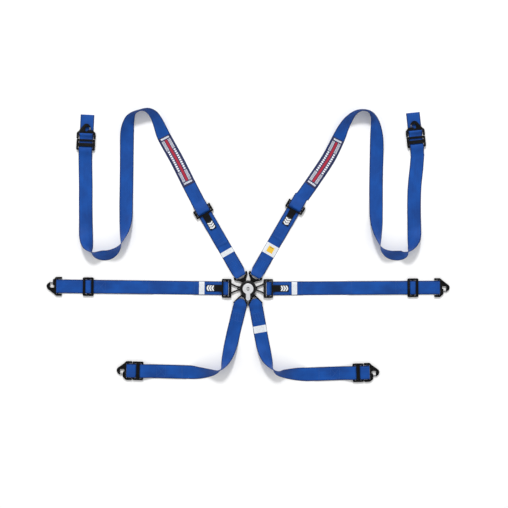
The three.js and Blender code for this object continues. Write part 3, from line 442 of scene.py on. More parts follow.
def thread(name, colour, light):
    finish = Finish(name, colour, 0.55, Sheen_Weight=0.3, Sheen_Roughness=0.4)
    x, y, z = finish.place()
    twist = (x + y + z * 2).wave(0.7) * 0.5 + 0.5
    # Painted shade in the twist: the thread is darker where the twist's relief is low.
    finish.colour(finish.mix(twist, colour, light))
    finish.bump(twist, 0.05)
    return finish.material


def metal(name, dark, light, roughness, metallic, grain, worn=None, bump=0.03):
    """Metal with fine grain, uneven gloss and, where worn is a colour, thin paint along its edges."""
    finish = Finish(name, dark, roughness, metallic)
    x, y, z = finish.place()
    fine = finish.noise(x / grain, y / grain, z / grain, 2.0)
    broad = finish.noise(x / 14, y / 14, z / 14, 4.0)
    body = finish.mix((fine * 0.5 + broad * 0.5).ramp(0.3, 0.7), dark, light)
    if worn:
        geometry = finish.tree.nodes.new("ShaderNodeNewGeometry")
        edges = Field(finish.tree, geometry.outputs["Pointiness"]).ramp(0.53, 0.62)
        scuffs = finish.noise(x / 2.5, y / 2.5, z / 2.5, 5.0).ramp(0.5, 0.66)
        body = finish.mix(edges * scuffs * 0.6, body, worn)
    finish.colour(body)
    finish.roughness(broad * 0.22 + (roughness - 0.11))
    if worn:
        finish.shader.inputs["Specular IOR Level"].default_value = 0.3
    finish.bump(fine, bump)
    return finish.material


def brushed(name, dark, light):
    """Satin aluminium turned on a lathe: faint rings round the lock's axis."""
    finish = Finish(name, light, 0.4, 0.55)
    x, y, z = finish.place()
    radius = (x * x + y * y).of("SQRT")
    rings = finish.noise(radius * 3.5, 0.0, 0.0, 2.0)
    broad = finish.noise(x / 12, y / 12, z / 12)
    body = finish.mix((rings * 0.6 + broad * 0.4).ramp(0.3, 0.7), dark, light)
    mark = radius.within(5.6, 6.8) + radius.within(2.0, 3.4)
    finish.colour(finish.mix(mark * 0.7, body, linear(58, 60, 64)))
    finish.roughness(rings * 0.2 + 0.24)
    finish.bump(rings, 0.02)
    return finish.material


def floor_paint():
    finish = Finish("floor_white", (0.93, 0.93, 0.93, 1), 0.9)
    x, y, _ = finish.place()
    tone = finish.noise(x / 400, y / 400)
    finish.colour(finish.mix(tone, (0.92, 0.92, 0.92, 1), (0.94, 0.94, 0.94, 1)))
    return finish.material


BLUE = webbing("webbing_blue", linear(5, 50, 116), linear(12, 84, 174), linear(2, 25, 72))
BLACK_TAB = black_webbing()
PATCH = patch_weave()
LABEL = label_weave("label_white")
LABEL_SQUARE = label_weave("label_square", sum(SHOULDERS[1]["label"]) / 2 - SHOULDERS[1]["label"][0])
BLUE_THREAD = thread("thread_blue", linear(16, 46, 108), linear(44, 94, 172))
NAVY_THREAD = thread("thread_navy", linear(14, 20, 60), linear(34, 44, 104))
WHITE_THREAD = thread("thread_white", linear(214, 220, 226), linear(240, 244, 247))
BLACK_THREAD = thread("thread_black", linear(12, 12, 14), linear(34, 34, 38))
STEEL = metal("black_steel", linear(3, 3, 4), linear(9, 9, 11), 0.36, 0.4, 0.5, linear(104, 106, 110))
COAT = metal("black_coat", linear(3, 3, 4), linear(9, 9, 11), 0.42, 0.0, 0.4, linear(60, 60, 64), 0.05)
BRIGHT = metal("bright_steel", linear(132, 135, 140), linear(176, 179, 184), 0.3, 1.0, 0.6)
LEVER = brushed("satin_lever", linear(228, 230, 233), linear(246, 247, 249))


# ---- Meshes ----


def radial(degrees):
    turn = math.radians(degrees)
    return Vector((math.cos(turn), math.sin(turn), 0))


def placed(origin, heading, height=0.0):
    """Local X runs along the heading, local Y to its left."""
    turned = Matrix.Rotation(math.radians(heading), 4, "Z")
    return Matrix.Translation((origin[0], origin[1], height)) @ turned


def finish_piece(name, bm, material, body, replaced=(), sharp=40):
    """Makes an object of a mesh in millimetres, smooth except at sharp edges, that rides on a body."""
    bmesh.ops.recalc_face_normals(bm, faces=bm.faces)
    mesh = bpy.data.meshes.new(name)
    bm.to_mesh(mesh)
    bm.free()
    mesh.transform(Matrix.Scale(MM, 4))
    mesh.shade_smooth()
    mesh.set_sharp_from_angle(angle=math.radians(sharp))
    mesh.materials.append(material)
    piece = bpy.data.objects.new(name, mesh)
    bpy.context.scene.collection.objects.link(piece)
    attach(piece, body)
    if replaced:
        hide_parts(*replaced)
    return piece


def body_of(node):
    return NODES[node]["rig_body"]


def stand_in(node, suffix, bm, material, **looks):
    """A piece that takes the place of one CAD node."""
    return finish_piece(f"{node}_{suffix}", bm, material, body_of(node), [node], **looks)


def rounded_copy(node, material, width, segments=2):
    """The CAD solid with its sharp edges rounded by that width."""
    bm = bmesh.new()
    bm.from_mesh(NODES[node].data)
    bm.transform(Matrix.Scale(1 / MM, 4))
    bmesh.ops.remove_doubles(bm, verts=bm.verts, dist=0.02)
    bmesh.ops.dissolve_limit(bm, angle_limit=math.radians(1.5), verts=bm.verts, edges=bm.edges)
    sharp = [e for e in bm.edges if e.is_manifold and e.calc_face_angle(0) > math.radians(32)]
    bmesh.ops.bevel(bm, geom=sharp, offset=width, offset_type="OFFSET", segments=segments,
                    profile=0.5, affect="EDGES", clamp_overlap=True)
    piece = stand_in(node, "rounded", bm, material)
    smooth = piece.modifiers.new("face weighted", "WEIGHTED_NORMAL")
    smooth.keep_sharp = True
    return piece


def join_rings(bm, rings, looped=False):
    """Walls between rings of points, then a face over each end unless the last ring meets the first."""
    for ring, following in zip(rings, rings[1:] + (rings[:1] if looped else [])):
        for i in range(len(ring)):
            j = (i + 1) % len(ring)
            bm.faces.new((ring[i], ring[j], following[j], following[i]))
    if not looped:
        bm.faces.new(rings[0])
        bm.faces.new(rings[-1])
    return bm


def turned(profile, sides=96):
    """A solid of revolution round Z from a closed outline of [radius, height]."""
    bm = bmesh.new()
    rings = [[bm.verts.new(radial(360 * i / sides) * radius + UP * height) for i in range(sides)]
             for radius, height in profile]
    return join_rings(bm, rings, looped=True)


def spindle(profile, sides=24, ripple=0.0):
    """A solid of revolution round Z with closed ends, from stations of [radius, height, rippled]."""
    bm = bmesh.new()
    rings = []
    for radius, height, rippled in profile:
        depth = ripple if rippled else 0
        rings.append([bm.verts.new(radial(360 * i / sides) * (radius - depth * (i % 2)) + UP * height)
                      for i in range(sides)])
    return join_rings(bm, rings)


def prism(outline, low, high, bevel):
    """An upright slab with rounded upper and lower edges."""
    bm = bmesh.new()
    bottom = [bm.verts.new((x, y, low)) for x, y in outline]
    top = [bm.verts.new((x, y, high)) for x, y in outline]
    bm.faces.new(bottom)
    bm.faces.new(top)
    rims = []
    for i in range(len(outline)):
        j = (i + 1) % len(outline)
        wall = bm.faces.new((bottom[i], bottom[j], top[j], top[i]))
        rims += [e for e in wall.edges if abs(e.verts[0].co.z - e.verts[1].co.z) < 1e-6]
    bmesh.ops.recalc_face_normals(bm, faces=bm.faces)
    if bevel:
        bmesh.ops.bevel(bm, geom=list(set(rims)), offset=bevel, segments=3, profile=0.5,
                        affect="EDGES", clamp_overlap=True)
    return bm


def joined(parts):
    """One mesh of several."""
    whole = bmesh.new()
    for part in parts:
        mesh = bpy.data.meshes.new("part")
        part.to_mesh(mesh)
        part.free()
        whole.from_mesh(mesh)
        bpy.data.meshes.remove(mesh)
    return whole


def cut(piece, cutter):
    """Cuts the solids of a mesh in millimetres out of a piece."""
    bmesh.ops.recalc_face_normals(cutter, faces=cutter.faces)
    mesh = bpy.data.meshes.new("cutter")
    cutter.to_mesh(mesh)
    cutter.free()
    mesh.transform(Matrix.Scale(MM, 4))
    tool = bpy.data.objects.new("cutter", mesh)
    bpy.context.scene.collection.objects.link(tool)
    boolean = piece.modifiers.new("cut", "BOOLEAN")
    boolean.object = tool
    boolean.solver = "EXACT"
    graph = bpy.context.evaluated_depsgraph_get()
    result = bpy.data.meshes.new_from_object(piece.evaluated_get(graph))
    piece.modifiers.remove(boolean)
    piece.data = result
    piece.data.set_sharp_from_angle(angle=math.radians(40))
    bpy.data.objects.remove(tool)


# ---- Webbing ----


class Frame:
    """A place on a ribbon: its middle, the direction across it, its upper side and its width."""

    def __init__(self, point, along, across, width=WEB_WIDTH):
        self.point = point
        self.side = (across - along * across.dot(along)).normalized()
        self.up = along.cross(self.side).normalized()
        self.width = width

    def turned_over(self):
        self.side = -self.side
        self.up = -self.up
        return self


def slopes_of(points, spans):
    """How fast a smooth curve changes at each of its points, from the two beside it."""
    slopes = []
    for i in range(len(points)):
        a, b = max(i - 1, 0), min(i + 1, len(points) - 1)
        slopes.append((points[b] - points[a]) / sum(spans[a:b]))
    return slopes


def rounded_profile(profile):
    """A side view of [distance, height, width] with its bends drawn as smooth curves."""
    points = [Vector((p[0], p[1], p[2] if len(p) > 2 else WEB_WIDTH)) for p in profile]
    spans = [max((b.xy - a.xy).length, 1e-6) for a, b in zip(points, points[1:])]
    slopes = slopes_of(points, spans)
    result = []
    for i, span in enumerate(spans):
        straight = span > STRAIGHT_FROM
        count = max(1, math.ceil(span / (STEP if straight else 1.6)))
        for j in range(count):
            t = j / count
            if straight:
                result.append(points[i].lerp(points[i + 1], t))
            else:
                result.append(hermite(points[i], points[i + 1], slopes[i] * span, slopes[i + 1] * span, t))
    return result + [points[-1]]


def hermite(start, end, leaving, arriving, t):
    return ((2 * t**3 - 3 * t**2 + 1) * start + (t**3 - 2 * t**2 + t) * leaving
            + (3 * t**2 - 2 * t**3) * end + (t**3 - t**2) * arriving)


def profile_frames(origin, heading, profile):
    """Webbing that follows a side view along a heading."""
    ahead = radial(heading)
    left = UP.cross(ahead)
    start = Vector((*origin, 0))
    stations = rounded_profile(profile)
    points = [start + ahead * u + UP * z for u, z, _ in stations]
    frames = []
    for i, point in enumerate(points):
        along = (points[min(i + 1, len(points) - 1)] - points[max(i - 1, 0)]).normalized()
        frames.append(Frame(point, along, left, stations[i].z))
    return frames


def laid_frames(stations, step=STEP):
    """Webbing on the floor through stations of [x, y, roll], with its lower edge on the floor."""
    places = [Vector(s) for s in stations]
    spans = [(b.xy - a.xy).length for a, b in zip(places, places[1:])]
    slopes = slopes_of(places, spans)
    samples = []
    for i, span in enumerate(spans):
        count = max(2, round(span / step))
        for j in range(count + (i + 1 == len(spans))):
            place = hermite(places[i], places[i + 1], slopes[i] * span, slopes[i + 1] * span, j / count)
            roll = math.radians(place.z)
            height = FLOOR_LAYER + WEB_WIDTH / 2 * abs(math.sin(roll))
            samples.append((Vector((place.x, place.y, height)), roll))
    frames = []
    for i, (point, roll) in enumerate(samples):
        along = samples[min(i + 1, len(samples) - 1)][0] - samples[max(i - 1, 0)][0]
        left = Vector((-along.y, along.x, 0)).normalized()
        frames.append(Frame(point, along.normalized(), left * math.cos(roll) + UP * math.sin(roll)))
    return frames


def section(width, thickness, grooved):
    """Outline of webbing across its length: [across, height], with soft selvedges."""
    high, half = thickness / 2, width / 2
    near = [(half, 0), (half - 0.2 * high, 0.7 * high), (half - 0.8 * high, high)]
    if grooved:
        near += [(half - 2.2, high), (half - 2.8, high - 0.16), (half - 3.4, high)]
    top = near + [(half * share, high) for share in (0.5, 0)]
    top += [(-across, height) for across, height in reversed(top[:-1])]
    return top + [(across, -height) for across, height in reversed(top[1:-1])]


def lengths(frames):
    total = [0.0]
    for a, b in zip(frames, frames[1:]):
        total.append(total[-1] + (b.point - a.point).length)
    return total


def ribbon(name, frames, material, body, replaced=(), thickness=WEB_THICKNESS, grooved=True):
    """A closed strip of woven material, with millimetres across and along it kept at each point."""
    bm = bmesh.new()
    layer = bm.verts.layers.float_vector.new("cloth")
    rings = []
    for frame_here, along in zip(frames, lengths(frames)):
        ring = []
        for across, height in section(frame_here.width, thickness, grooved):
            vertex = bm.verts.new(frame_here.point + frame_here.side * across + frame_here.up * height)
            vertex[layer] = Vector((across, along, height))
            ring.append(vertex)
        rings.append(ring)
    return finish_piece(name, join_rings(bm, rings), material, body, replaced, sharp=50)


def cloth_sheet(frames):
    """Works out a ribbon's width, length and area as a cut of cloth, and keeps none of them."""
    width = max(f.width for f in frames) * MM
    length = lengths(frames)[-1] * MM
    area = sum((a.width + b.width) / 2 * (b.point - a.point).length for a, b in zip(frames, frames[1:]))
    round(area * MM * MM, 6)


def on_flat(origin, heading, height):
    """A flat stretch: (distance along, distance to the left, lift) to a point."""
    ahead = radial(heading)
    left = UP.cross(ahead)
    start = Vector((*origin, height))
    return lambda along, across, lift=0.0: start + ahead * along + left * across + UP * lift


def on_ribbon(frames, rise):
    """The face of a ribbon that looks up at its start, rise above its middle: the same three distances."""
    total = lengths(frames)
    facing = math.copysign(1, frames[0].up.z)

    def at(along, across, lift=0.0):
        i = min(max(bisect.bisect_right(total, along) - 1, 0), len(frames) - 2)
        share = (along - total[i]) / (total[i + 1] - total[i])
        a, b = frames[i], frames[i + 1]
        return (a.point.lerp(b.point, share) + a.side.lerp(b.side, share) * across
                + a.up.lerp(b.up, share) * (facing * (rise + lift)))
    return at


# ---- Sewing ----

STITCH = 3.0
STITCH_GAP = 0.8
THREAD_WIDTH = 0.75
THREAD_HEIGHT = 0.4


def box_rows(low, high, half):
    return [[(low, -half), (high, -half), (high, half), (low, half), (low, -half)]]


def box_cross(low, high, half):
    return box_rows(low, high, half) + [[(low, -half), (high, half)], [(low, half), (high, -half)]]


def cross_rows(places, half):
    return [[(u, -half), (u, half)] for u in places]


def zigzag(low, high, half, turns):
    """Lengthwise rows joined at their ends, as a harness seam is sewn."""
    rows = []
    for i in range(turns + 1):
        across = -half + 2 * half * i / turns
        rows.append([(low, across), (high, across + (half / turns if i < turns else 0))])
    return rows + cross_rows((low, high), half)


def stitches(at, rows):
    """Short raised grains of thread along rows of [along, across]."""
    bm = bmesh.new()
    pitch = STITCH + STITCH_GAP
    for row in rows:
        for (u0, v0), (u1, v1) in zip(row, row[1:]):
            run = math.hypot(u1 - u0, v1 - v0)
            count = max(1, round(run / pitch))
            for i in range(count):
                ends = [(i + 0.5 + way * STITCH / pitch / 2) / count for way in (-1, 1)]
                start, end = (at(u0 + (u1 - u0) * t, v0 + (v1 - v0) * t) for t in ends)
                middle = sum(ends) / 2
                u, v = u0 + (u1 - u0) * middle, v0 + (v1 - v0) * middle
                normal = (at(u, v, 1.0) - at(u, v)).normalized()
                grain(bm, start, end, normal)
    return bm


def grain(bm, start, end, normal):
    side = normal.cross(end - start).normalized() * (THREAD_WIDTH / 2)
    sink = normal * (THREAD_HEIGHT * 0.25)
    tips = [bm.verts.new(start - sink), bm.verts.new(end - sink)]
    rings = []
    for share in (0.22, 0.78):
        middle = start.lerp(end, share)
        offsets = (side, normal * THREAD_HEIGHT, -side, -sink)
        rings.append([bm.verts.new(middle + offset) for offset in offsets])
    for i in range(4):
        j = (i + 1) % 4
        bm.faces.new((tips[0], rings[0][i], rings[0][j]))
        bm.faces.new((rings[0][i], rings[1][i], rings[1][j], rings[0][j]))
        bm.faces.new((tips[1], rings[1][j], rings[1][i]))


def sew(name, at, rows, material, body):
    return finish_piece(name, stitches(at, rows), material, body, sharp=80)


def label(name, at, low, high, width, material, body):
    """A thin label sewn flat, with its stitches round the edge."""
    frames = []
    steps = 8
    for i in range(steps + 1):
        u = low + (high - low) * i / steps
        middle, ahead, left = at(u, 0), at(u + 1, 0), at(u, 1)
        frames.append(Frame(middle, (ahead - middle).normalized(), left - middle, width))
    piece = ribbon(name, frames, material, body, (), LABEL_THICKNESS, False)
    top = lambda along, across, lift=0.0: at(along, across, lift + LABEL_THICKNESS / 2)
    edge = sew(f"{name}_stitches", top, box_rows(low + 1.6, high - 1.6, width / 2 - 1.6),
               WHITE_THREAD, body)
    return [piece, edge]


# ---- Side views of the webbing ----


def arc(u, z, radius, start, end, steps):
    return [(u + radius * math.cos(math.radians(start + (end - start) * i / steps)),
             z + radius * math.sin(math.radians(start + (end - start) * i / steps)))
            for i in range(steps + 1)]


def woven(lift, face):
    """Through a slider at zero: under its outer bars and over its middle bar, or the other way about."""
    near, far = face["slot"]
    outside, rise = face["outside"], face["rise"]
    points = [(-18, outside)]
    for way in (-1, 1):
        for i in range(WOVEN_STEPS + 1):
            share = i / WOVEN_STEPS if way < 0 else 1 - i / WOVEN_STEPS
            u = way * (far - (far - near) * share)
            points.append((u, outside + rise * (1 - math.cos(math.pi * share)) / 2))
    points.append((18, outside))
    lifted = []
    for i, (u, z) in enumerate(points):
        u0, z0 = points[max(i - 1, 0)]
        u1, z1 = points[min(i + 1, len(points) - 1)]
        run = math.hypot(u1 - u0, z1 - z0)
        lifted.append((u - lift * (z1 - z0) / run, z + lift * (u1 - u0) / run))
    return lifted


def shifted(points, distance):
    return [(p[0] + distance, *p[1:]) for p in points]


def doubled_end(slider, hook, tail):
    """Through the slider, round the hook's bar, back and along itself."""
    return [
        *shifted(woven(LAYER_STEP, FACE_UP), slider),
        (hook - 16, SECOND_LAYER), (hook - 12.5, 2.9), (hook - 9, 4.4),
        *arc(hook, LOW_BAR_HEIGHT, LOOP_RADIUS, 120, -90, 12),
        (hook - 6, FLOOR_LAYER),
        *reversed(shifted(woven(0, FACE_UP), slider)),
        (tail, FLOOR_LAYER),
    ]


def crossed_end(slider, tail):
    """The same end lying face down: over the slider's outer bars and under its middle bar."""
    hook = slider + SLIDER_TO_HOOK
    climb = [(slider - 62, FLOOR_LAYER), (slider - 48, 2.15), (slider - 30, 6.55)]
    return [
        *[(u, z + LAYER_STEP) for u, z in climb],
        *shifted(woven(LAYER_STEP, FACE_DOWN), slider), (hook - 10, 9.7),
        *arc(hook, LOW_BAR_HEIGHT, LOOP_RADIUS, 100, -90, 12),
        (hook - 5, 1.5), (hook - 9, 3.9), (hook - 12.5, 6.4), (hook - 16, 8),
        *reversed(shifted(woven(0, FACE_DOWN), slider)), *reversed(climb), (tail, FLOOR_LAYER),
    ]


def folded_end(slider, past_hook):
    """Over one bar of the slider, under two, round the hook's bar and folded back under itself."""
    hook = slider + SLIDER_TO_HOOK
    over = SLIDER_BOTTOM + SHOULDER_SLIDER_LIFT + SLIDER_THICKNESS + 1.05
    fold = slider - 14
    near, far = FACE_DOWN["slot"]
    dive = []
    for i in range(WOVEN_STEPS):
        share = (i + 1) / WOVEN_STEPS
        drop = (over - THIRD_LAYER) * (1 - math.cos(math.pi * share)) / 2
        dive.append((slider - far + (far - near) * share, over - drop))
    return [
        (slider - 34, 5.4), (slider - 29, 7.6), (slider - 24, 9.3), (slider - 19, over),
        (slider - far, over), *dive, (slider + 20.6, THIRD_LAYER), (hook - 10.4, 4.65), (hook - 7, 6.6),
        *arc(hook, HIGH_BAR_HEIGHT, LOOP_RADIUS, 125, -90, 12),
        (hook - 8, SECOND_LAYER), (fold, SECOND_LAYER),
        *arc(fold, (FLOOR_LAYER + SECOND_LAYER) / 2, LAYER_STEP / 2, 90, 270, 6)[1:],
        (hook, FLOOR_LAYER), (hook + past_hook, FLOOR_LAYER),
    ]


def lap_wrap(start):
    bar = start + 17
    window_end = start + LAP_FRAME_LENGTH - FRAME_BAR_WIDTH
    return [
        (LAP_TAIL_END, SECOND_LAYER), (window_end + 8, SECOND_LAYER), (window_end + 0.8, 2.7),
        (window_end - 1.9, 4.2),
        *arc(bar, FLOOR_LAYER + SLIDE_LOOP_RADIUS, SLIDE_LOOP_RADIUS, 50, 270, 14),
        (bar + 6, FLOOR_LAYER),
    ]


def tab_profile(bar, bar_height, rest_height, reach, outward, start_angle):
    """A pull tab that hugs a bar and lies on the webbing beside it, drawn from its free end."""
    bend = arc(0, bar_height, TAB_BEND_RADIUS, start_angle, 145, 5)
    last_u, last_z = bend[-1]
    profile = [*bend, (last_u - 4.2, (last_z + rest_height) / 2 + 1.2), (last_u - 11, rest_height + 0.5),
               (last_u - 18, rest_height), (-reach, rest_height)]
    return [(bar - outward * u, z, TAB_WIDTH) for u, z in reversed(profile)]


def shoulder_lower(adjuster):
    back = adjuster + 14
    bar = SHOULDER_BAR
    return [
        (SHOULDER_HEM_END, FLOOR_LAYER), (bar + 21, FLOOR_LAYER), (bar + 14, FLOOR_LAYER, 47),
        (bar + 8, 1, 44),
        *[(u, z, 38 + (u - bar) * 1.2) for u, z in arc(bar, PLATE_MIDDLE, LOOP_RADIUS, 275, 70, 12)],
        (bar + 6, 8.2, 43), (bar + 14, 4.4, 47), (bar + 21, 2.8),
        (SHOULDER_HEM_END + 2, SECOND_LAYER), (SHOULDER_HEM_END + 8, 1.6),
        (SHOULDER_HEM_END + 16, FLOOR_LAYER), (back - 8, FLOOR_LAYER),
        *arc(back, LOW_BAR_HEIGHT, LOOP_RADIUS, -90, 120, 12),
        (back - 9, 4.4), (back - 12.5, 2.9), (back - 16, SECOND_LAYER), (adjuster - 60, SECOND_LAYER),
    ]


def shoulder_wrap(adjuster, tail):
    return [
        (tail, SECOND_LAYER), (adjuster - 72, SECOND_LAYER), (adjuster - 64, THIRD_LAYER),
        (adjuster - 14, THIRD_LAYER), (adjuster - 11, THIRD_LAYER), (adjuster - 9.1, 4.8),
        (adjuster - 7.8, 5.9),
        *arc(adjuster, SHOULDER_SLIDE_HEIGHT, SLIDE_LOOP_RADIUS, 150, 80, 7),
        (adjuster + 7, 12.3), (adjuster + 14, 11.1), (adjuster + 20, 9.2), (adjuster + 27, 5.9),
        (adjuster + 34, 2.8), (adjuster + 40, 1.2), (adjuster + 46, FLOOR_LAYER),
    ]


def crotch_loop():
    """A loose loop round the tongue's bar, bunched where it runs up between the tongue's arms."""
    return [
        (64, FLOOR_LAYER), (10, FLOOR_LAYER, 49), (4, FLOOR_LAYER, 47), (-3, FLOOR_LAYER, 43),
        (-9, FLOOR_LAYER, 34),
        *[(u, z, 24 + (u + 14.7) * 2.8) for u, z in arc(-14.7, 4.85, LOOP_RADIUS, 270, 90, 12)],
        (-9, 8.95, 34), (-3, 9, 43), (4, 8.9, 47), (10, 7.2, 49), (16, 4.8), (22, 3.1),
        (32, SECOND_LAYER), (66, SECOND_LAYER), (72, 1.7), (79, FLOOR_LAYER),
    ]


# ---- Belts ----

TOP_OF = {layer: layer + WEB_THICKNESS / 2 for layer in (FLOOR_LAYER, SECOND_LAYER, THIRD_LAYER)}
LABEL_RISE = 0.05 + LABEL_THICKNESS / 2


def make_tab(name, heading, profile):
    body = body_of(name)
    frames = profile_frames(LOCK, heading, profile)
    tab = ribbon(f"{name}_webbing", frames, BLACK_TAB, body, [name],
                 TAB_THICKNESS, False)
    total = lengths(frames)[-1]
    half = TAB_WIDTH / 2 - 1.8
    rows = box_rows(1.6, total - 34, half) + cross_rows((total - 31, total - 34), half)
    sewn = sew(f"{name}_stitches", on_ribbon(frames, TAB_THICKNESS / 2), rows, BLACK_THREAD, body)
    cloth_sheet(frames)


def make_lap(spec):
    side, heading, tail = spec["side"], spec["heading"], spec["tail"]
    node = f"lap_strap_{side}"
    body = body_of(node)
    profile = [
        *lap_wrap(spec["frame"]), (LAP_TAIL_END + 10, FLOOR_LAYER), (tail - 14, FLOOR_LAYER),
        (tail - 8, 1.5), (tail - 2, SECOND_LAYER), *doubled_end(spec["slider"], LAP_HOOK, tail),
    ]
    frames = profile_frames(LOCK, heading, profile)
    strap = ribbon(f"lap_webbing_{side}", frames, BLUE, body, [node])
    upper = on_flat(LOCK, heading, TOP_OF[SECOND_LAYER])
    rows = cross_rows((LAP_TAIL_END - 3, LAP_TAIL_END - 6, LAP_TAIL_END - 18), 22)
    rows += cross_rows((tail + 4, tail + 7), 22)
    rows += box_cross(spec["slider"] - 62, spec["slider"] - 28, 19)
    sewn = sew(f"lap_stitches_{side}", upper, rows, BLUE_THREAD, body)
    on_tail = on_flat(LOCK, heading, TOP_OF[SECOND_LAYER] + LABEL_RISE)
    trim = [sewn, *label(f"lap_label_{side}", on_tail, *LAP_LABEL, 47, LABEL, body)]
    cloth_sheet(frames)

    bar = spec["frame"] + LAP_FRAME_LENGTH - FRAME_BAR_WIDTH / 2
    make_tab(f"lap_pull_tab_{side}", heading,
             tab_profile(bar, PLATE_MIDDLE, SECOND_LAYER + 1.75, TAB_REACH, 1, 70))


def make_patch(side, stations, start, body):
    node = f"shoulder_patch_{side}"
    whole = laid_frames(stations, 4)
    total = lengths(whole)
    frames = [f for f, s in zip(whole, total) if start < s < start + PATCH_LENGTH]
    for f in frames:
        f.point = f.point + f.up * ((WEB_THICKNESS + PATCH_THICKNESS) / 2 + 0.1)
        f.width = PATCH_WIDTH
    patch = ribbon(f"{node}_woven", frames, PATCH, body, [node],
                   PATCH_THICKNESS, False)
    rows = box_rows(2, lengths(frames)[-1] - 2, PATCH_WIDTH / 2 - 2)
    sewn = sew(f"{node}_stitches", on_ribbon(frames, PATCH_THICKNESS / 2), rows, NAVY_THREAD, body)
    cloth_sheet(frames)


def make_shoulder(spec):
    side, heading, adjuster = spec["side"], spec["heading"], spec["adjuster"]
    body = body_of(f"shoulder_lower_strap_{side}")
    lower = profile_frames(LOCK, heading, shoulder_lower(adjuster))
    strap = ribbon(f"shoulder_lower_webbing_{side}", lower, BLUE, body,
                   [f"shoulder_lower_strap_{side}"])
    on_hem = on_flat(LOCK, heading, TOP_OF[SECOND_LAYER])
    sewn = sew(f"shoulder_hem_stitches_{side}", on_hem,
               zigzag(SHOULDER_BAR + 24, SHOULDER_HEM_END - 4, 20, 5),
               BLUE_THREAD, body)
    low, high = spec["label"]
    on_strap = on_flat(LOCK, heading, TOP_OF[FLOOR_LAYER] + LABEL_RISE)
    kind = LABEL if side == "left" else LABEL_SQUARE
    trim = [sewn, *label(f"shoulder_label_{side}", on_strap, low, high, 48, kind, body)]
    cloth_sheet(lower)

    upper = [
        *profile_frames(LOCK, heading, shoulder_wrap(adjuster, spec["tail"])),
        *laid_frames(spec["stations"]),
        *profile_frames(spec["end"], spec["end_heading"],
                        [(-26, 1.2), (-17, 2.6), *folded_end(spec["slider"], spec["past_hook"])]),
    ]
    strap = ribbon(f"shoulder_upper_webbing_{side}", upper, BLUE, body,
                   [f"shoulder_upper_strap_{side}"])
    tail_rows = cross_rows([spec["tail"] + step for step in (4, 8, 24)], 22)
    sewn_tail = sew(f"shoulder_tail_stitches_{side}", on_hem, tail_rows, BLUE_THREAD, body)
    past = on_flat(spec["end"], spec["end_heading"], TOP_OF[FLOOR_LAYER])
    reach = spec["slider"] + SLIDER_TO_HOOK + spec["past_hook"]
    end_rows = cross_rows((reach - 4, reach - 8), 22)
    sewn_end = sew(f"shoulder_end_stitches_{side}", past, end_rows, BLUE_THREAD, body)
    cloth_sheet(upper)

    front, height = SHOULDER_FRONT_BAR
    make_tab(f"shoulder_pull_tab_{side}", heading,
             tab_profile(adjuster + front, height, THIRD_LAYER + 1.75, SHOULDER_TAB_REACH, -1, 90))
    make_patch(side, spec["stations"], spec["patch"], body)


def make_crotch(spec):
    side, heading, tail = spec["side"], spec["heading"], spec["tail"]
    node = f"crotch_strap_{side}"
    body = body_of(node)
    lead = [(tail - 18, FLOOR_LAYER), (tail - 12, 1.1), (tail - 7, 2.2), (tail - 3, SECOND_LAYER),
            (tail + 4, SECOND_LAYER)]
    far = crossed_end(spec["slider"], tail)
    frames = [
        *profile_frames(spec["bar"], heading, crotch_loop()),
        *laid_frames(spec["stations"]),
        *[f.turned_over() for f in profile_frames(spec["end"], spec["end_heading"], lead)],
        *[f.turned_over() for f in profile_frames(spec["end"], spec["end_heading"], far)],
    ]
    strap = ribbon(f"crotch_webbing_{side}", frames, BLUE, body, [node])
    hem = on_flat(spec["bar"], heading, TOP_OF[SECOND_LAYER])
    trim = [sew(f"crotch_hem_stitches_{side}", hem, zigzag(34, 63, 19, 4), BLUE_THREAD, body)]
    outer = on_flat(spec["end"], spec["end_heading"], TOP_OF[SECOND_LAYER])
    rows = cross_rows((tail + 5, tail + 9), 22) + box_cross(spec["slider"] - 100, spec["slider"] - 68, 19)
    trim.append(sew(f"crotch_stitches_{side}", outer, rows, BLUE_THREAD, body))
    if side == "right":
        on_strap = on_flat(spec["bar"], heading, TOP_OF[FLOOR_LAYER] + LABEL_RISE)
        trim += label(f"crotch_label_{side}", on_strap, 81, 106.5, 47, LABEL, body)
    cloth_sheet(frames)


# ---- Metal ----

SLOT_HEADINGS = (120, 60, 180, 0, 235, 305)
DISC_STEPS = 96
TAIL_STEPS = 24
LEVER_SCREW_AT = 4.1
LEVER_GRIPS_AT = (-30.5, -33.5, -36.5)
HOUSING_OUTLINE = [
    (30, 3.3), (30, 15.6), (29.7, 17.0), (28.9, 18.3), (27.7, 19.3), (26.3, 19.9), (25.4, 20),
    (25.1, 19.6), (24.5, 19.6), (24.2, 20), (6.9, 20), (6.9, 17.2), (27.2, 17.2), (27.2, 3.3),
]
BACK_OUTLINE = [(30, 0.5), (30, 2.6), (29.6, 3), (12, 3), (12, 2.4), (0.01, 2.4), (0.01, 0), (29.5, 0)]


def box(x0, x1, y0, y1, z0, z1):
    return prism([(x0, y0), (x1, y0), (x1, y1), (x0, y1)], z0, z1, 0)


def upright(x, y, radius, low, high, sides=32):
    outline = [(x + radius * math.cos(math.tau * i / sides), y + radius * math.sin(math.tau * i / sides))
               for i in range(sides)]
    return prism(outline, low, high, 0)


def keyhole(disc, half, reach):
    """A disc with a round-ended tail that points down the Y axis."""
    meet = math.asin(half / disc)
    points = []
    for i in range(DISC_STEPS + 1):
        turn = -math.pi / 2 + meet + (math.tau - 2 * meet) * i / DISC_STEPS
        points.append((disc * math.cos(turn), disc * math.sin(turn)))
    for i in range(TAIL_STEPS + 1):
        turn = math.pi + math.pi * i / TAIL_STEPS
        points.append((half * math.cos(turn), half - reach + half * math.sin(turn)))
    return points


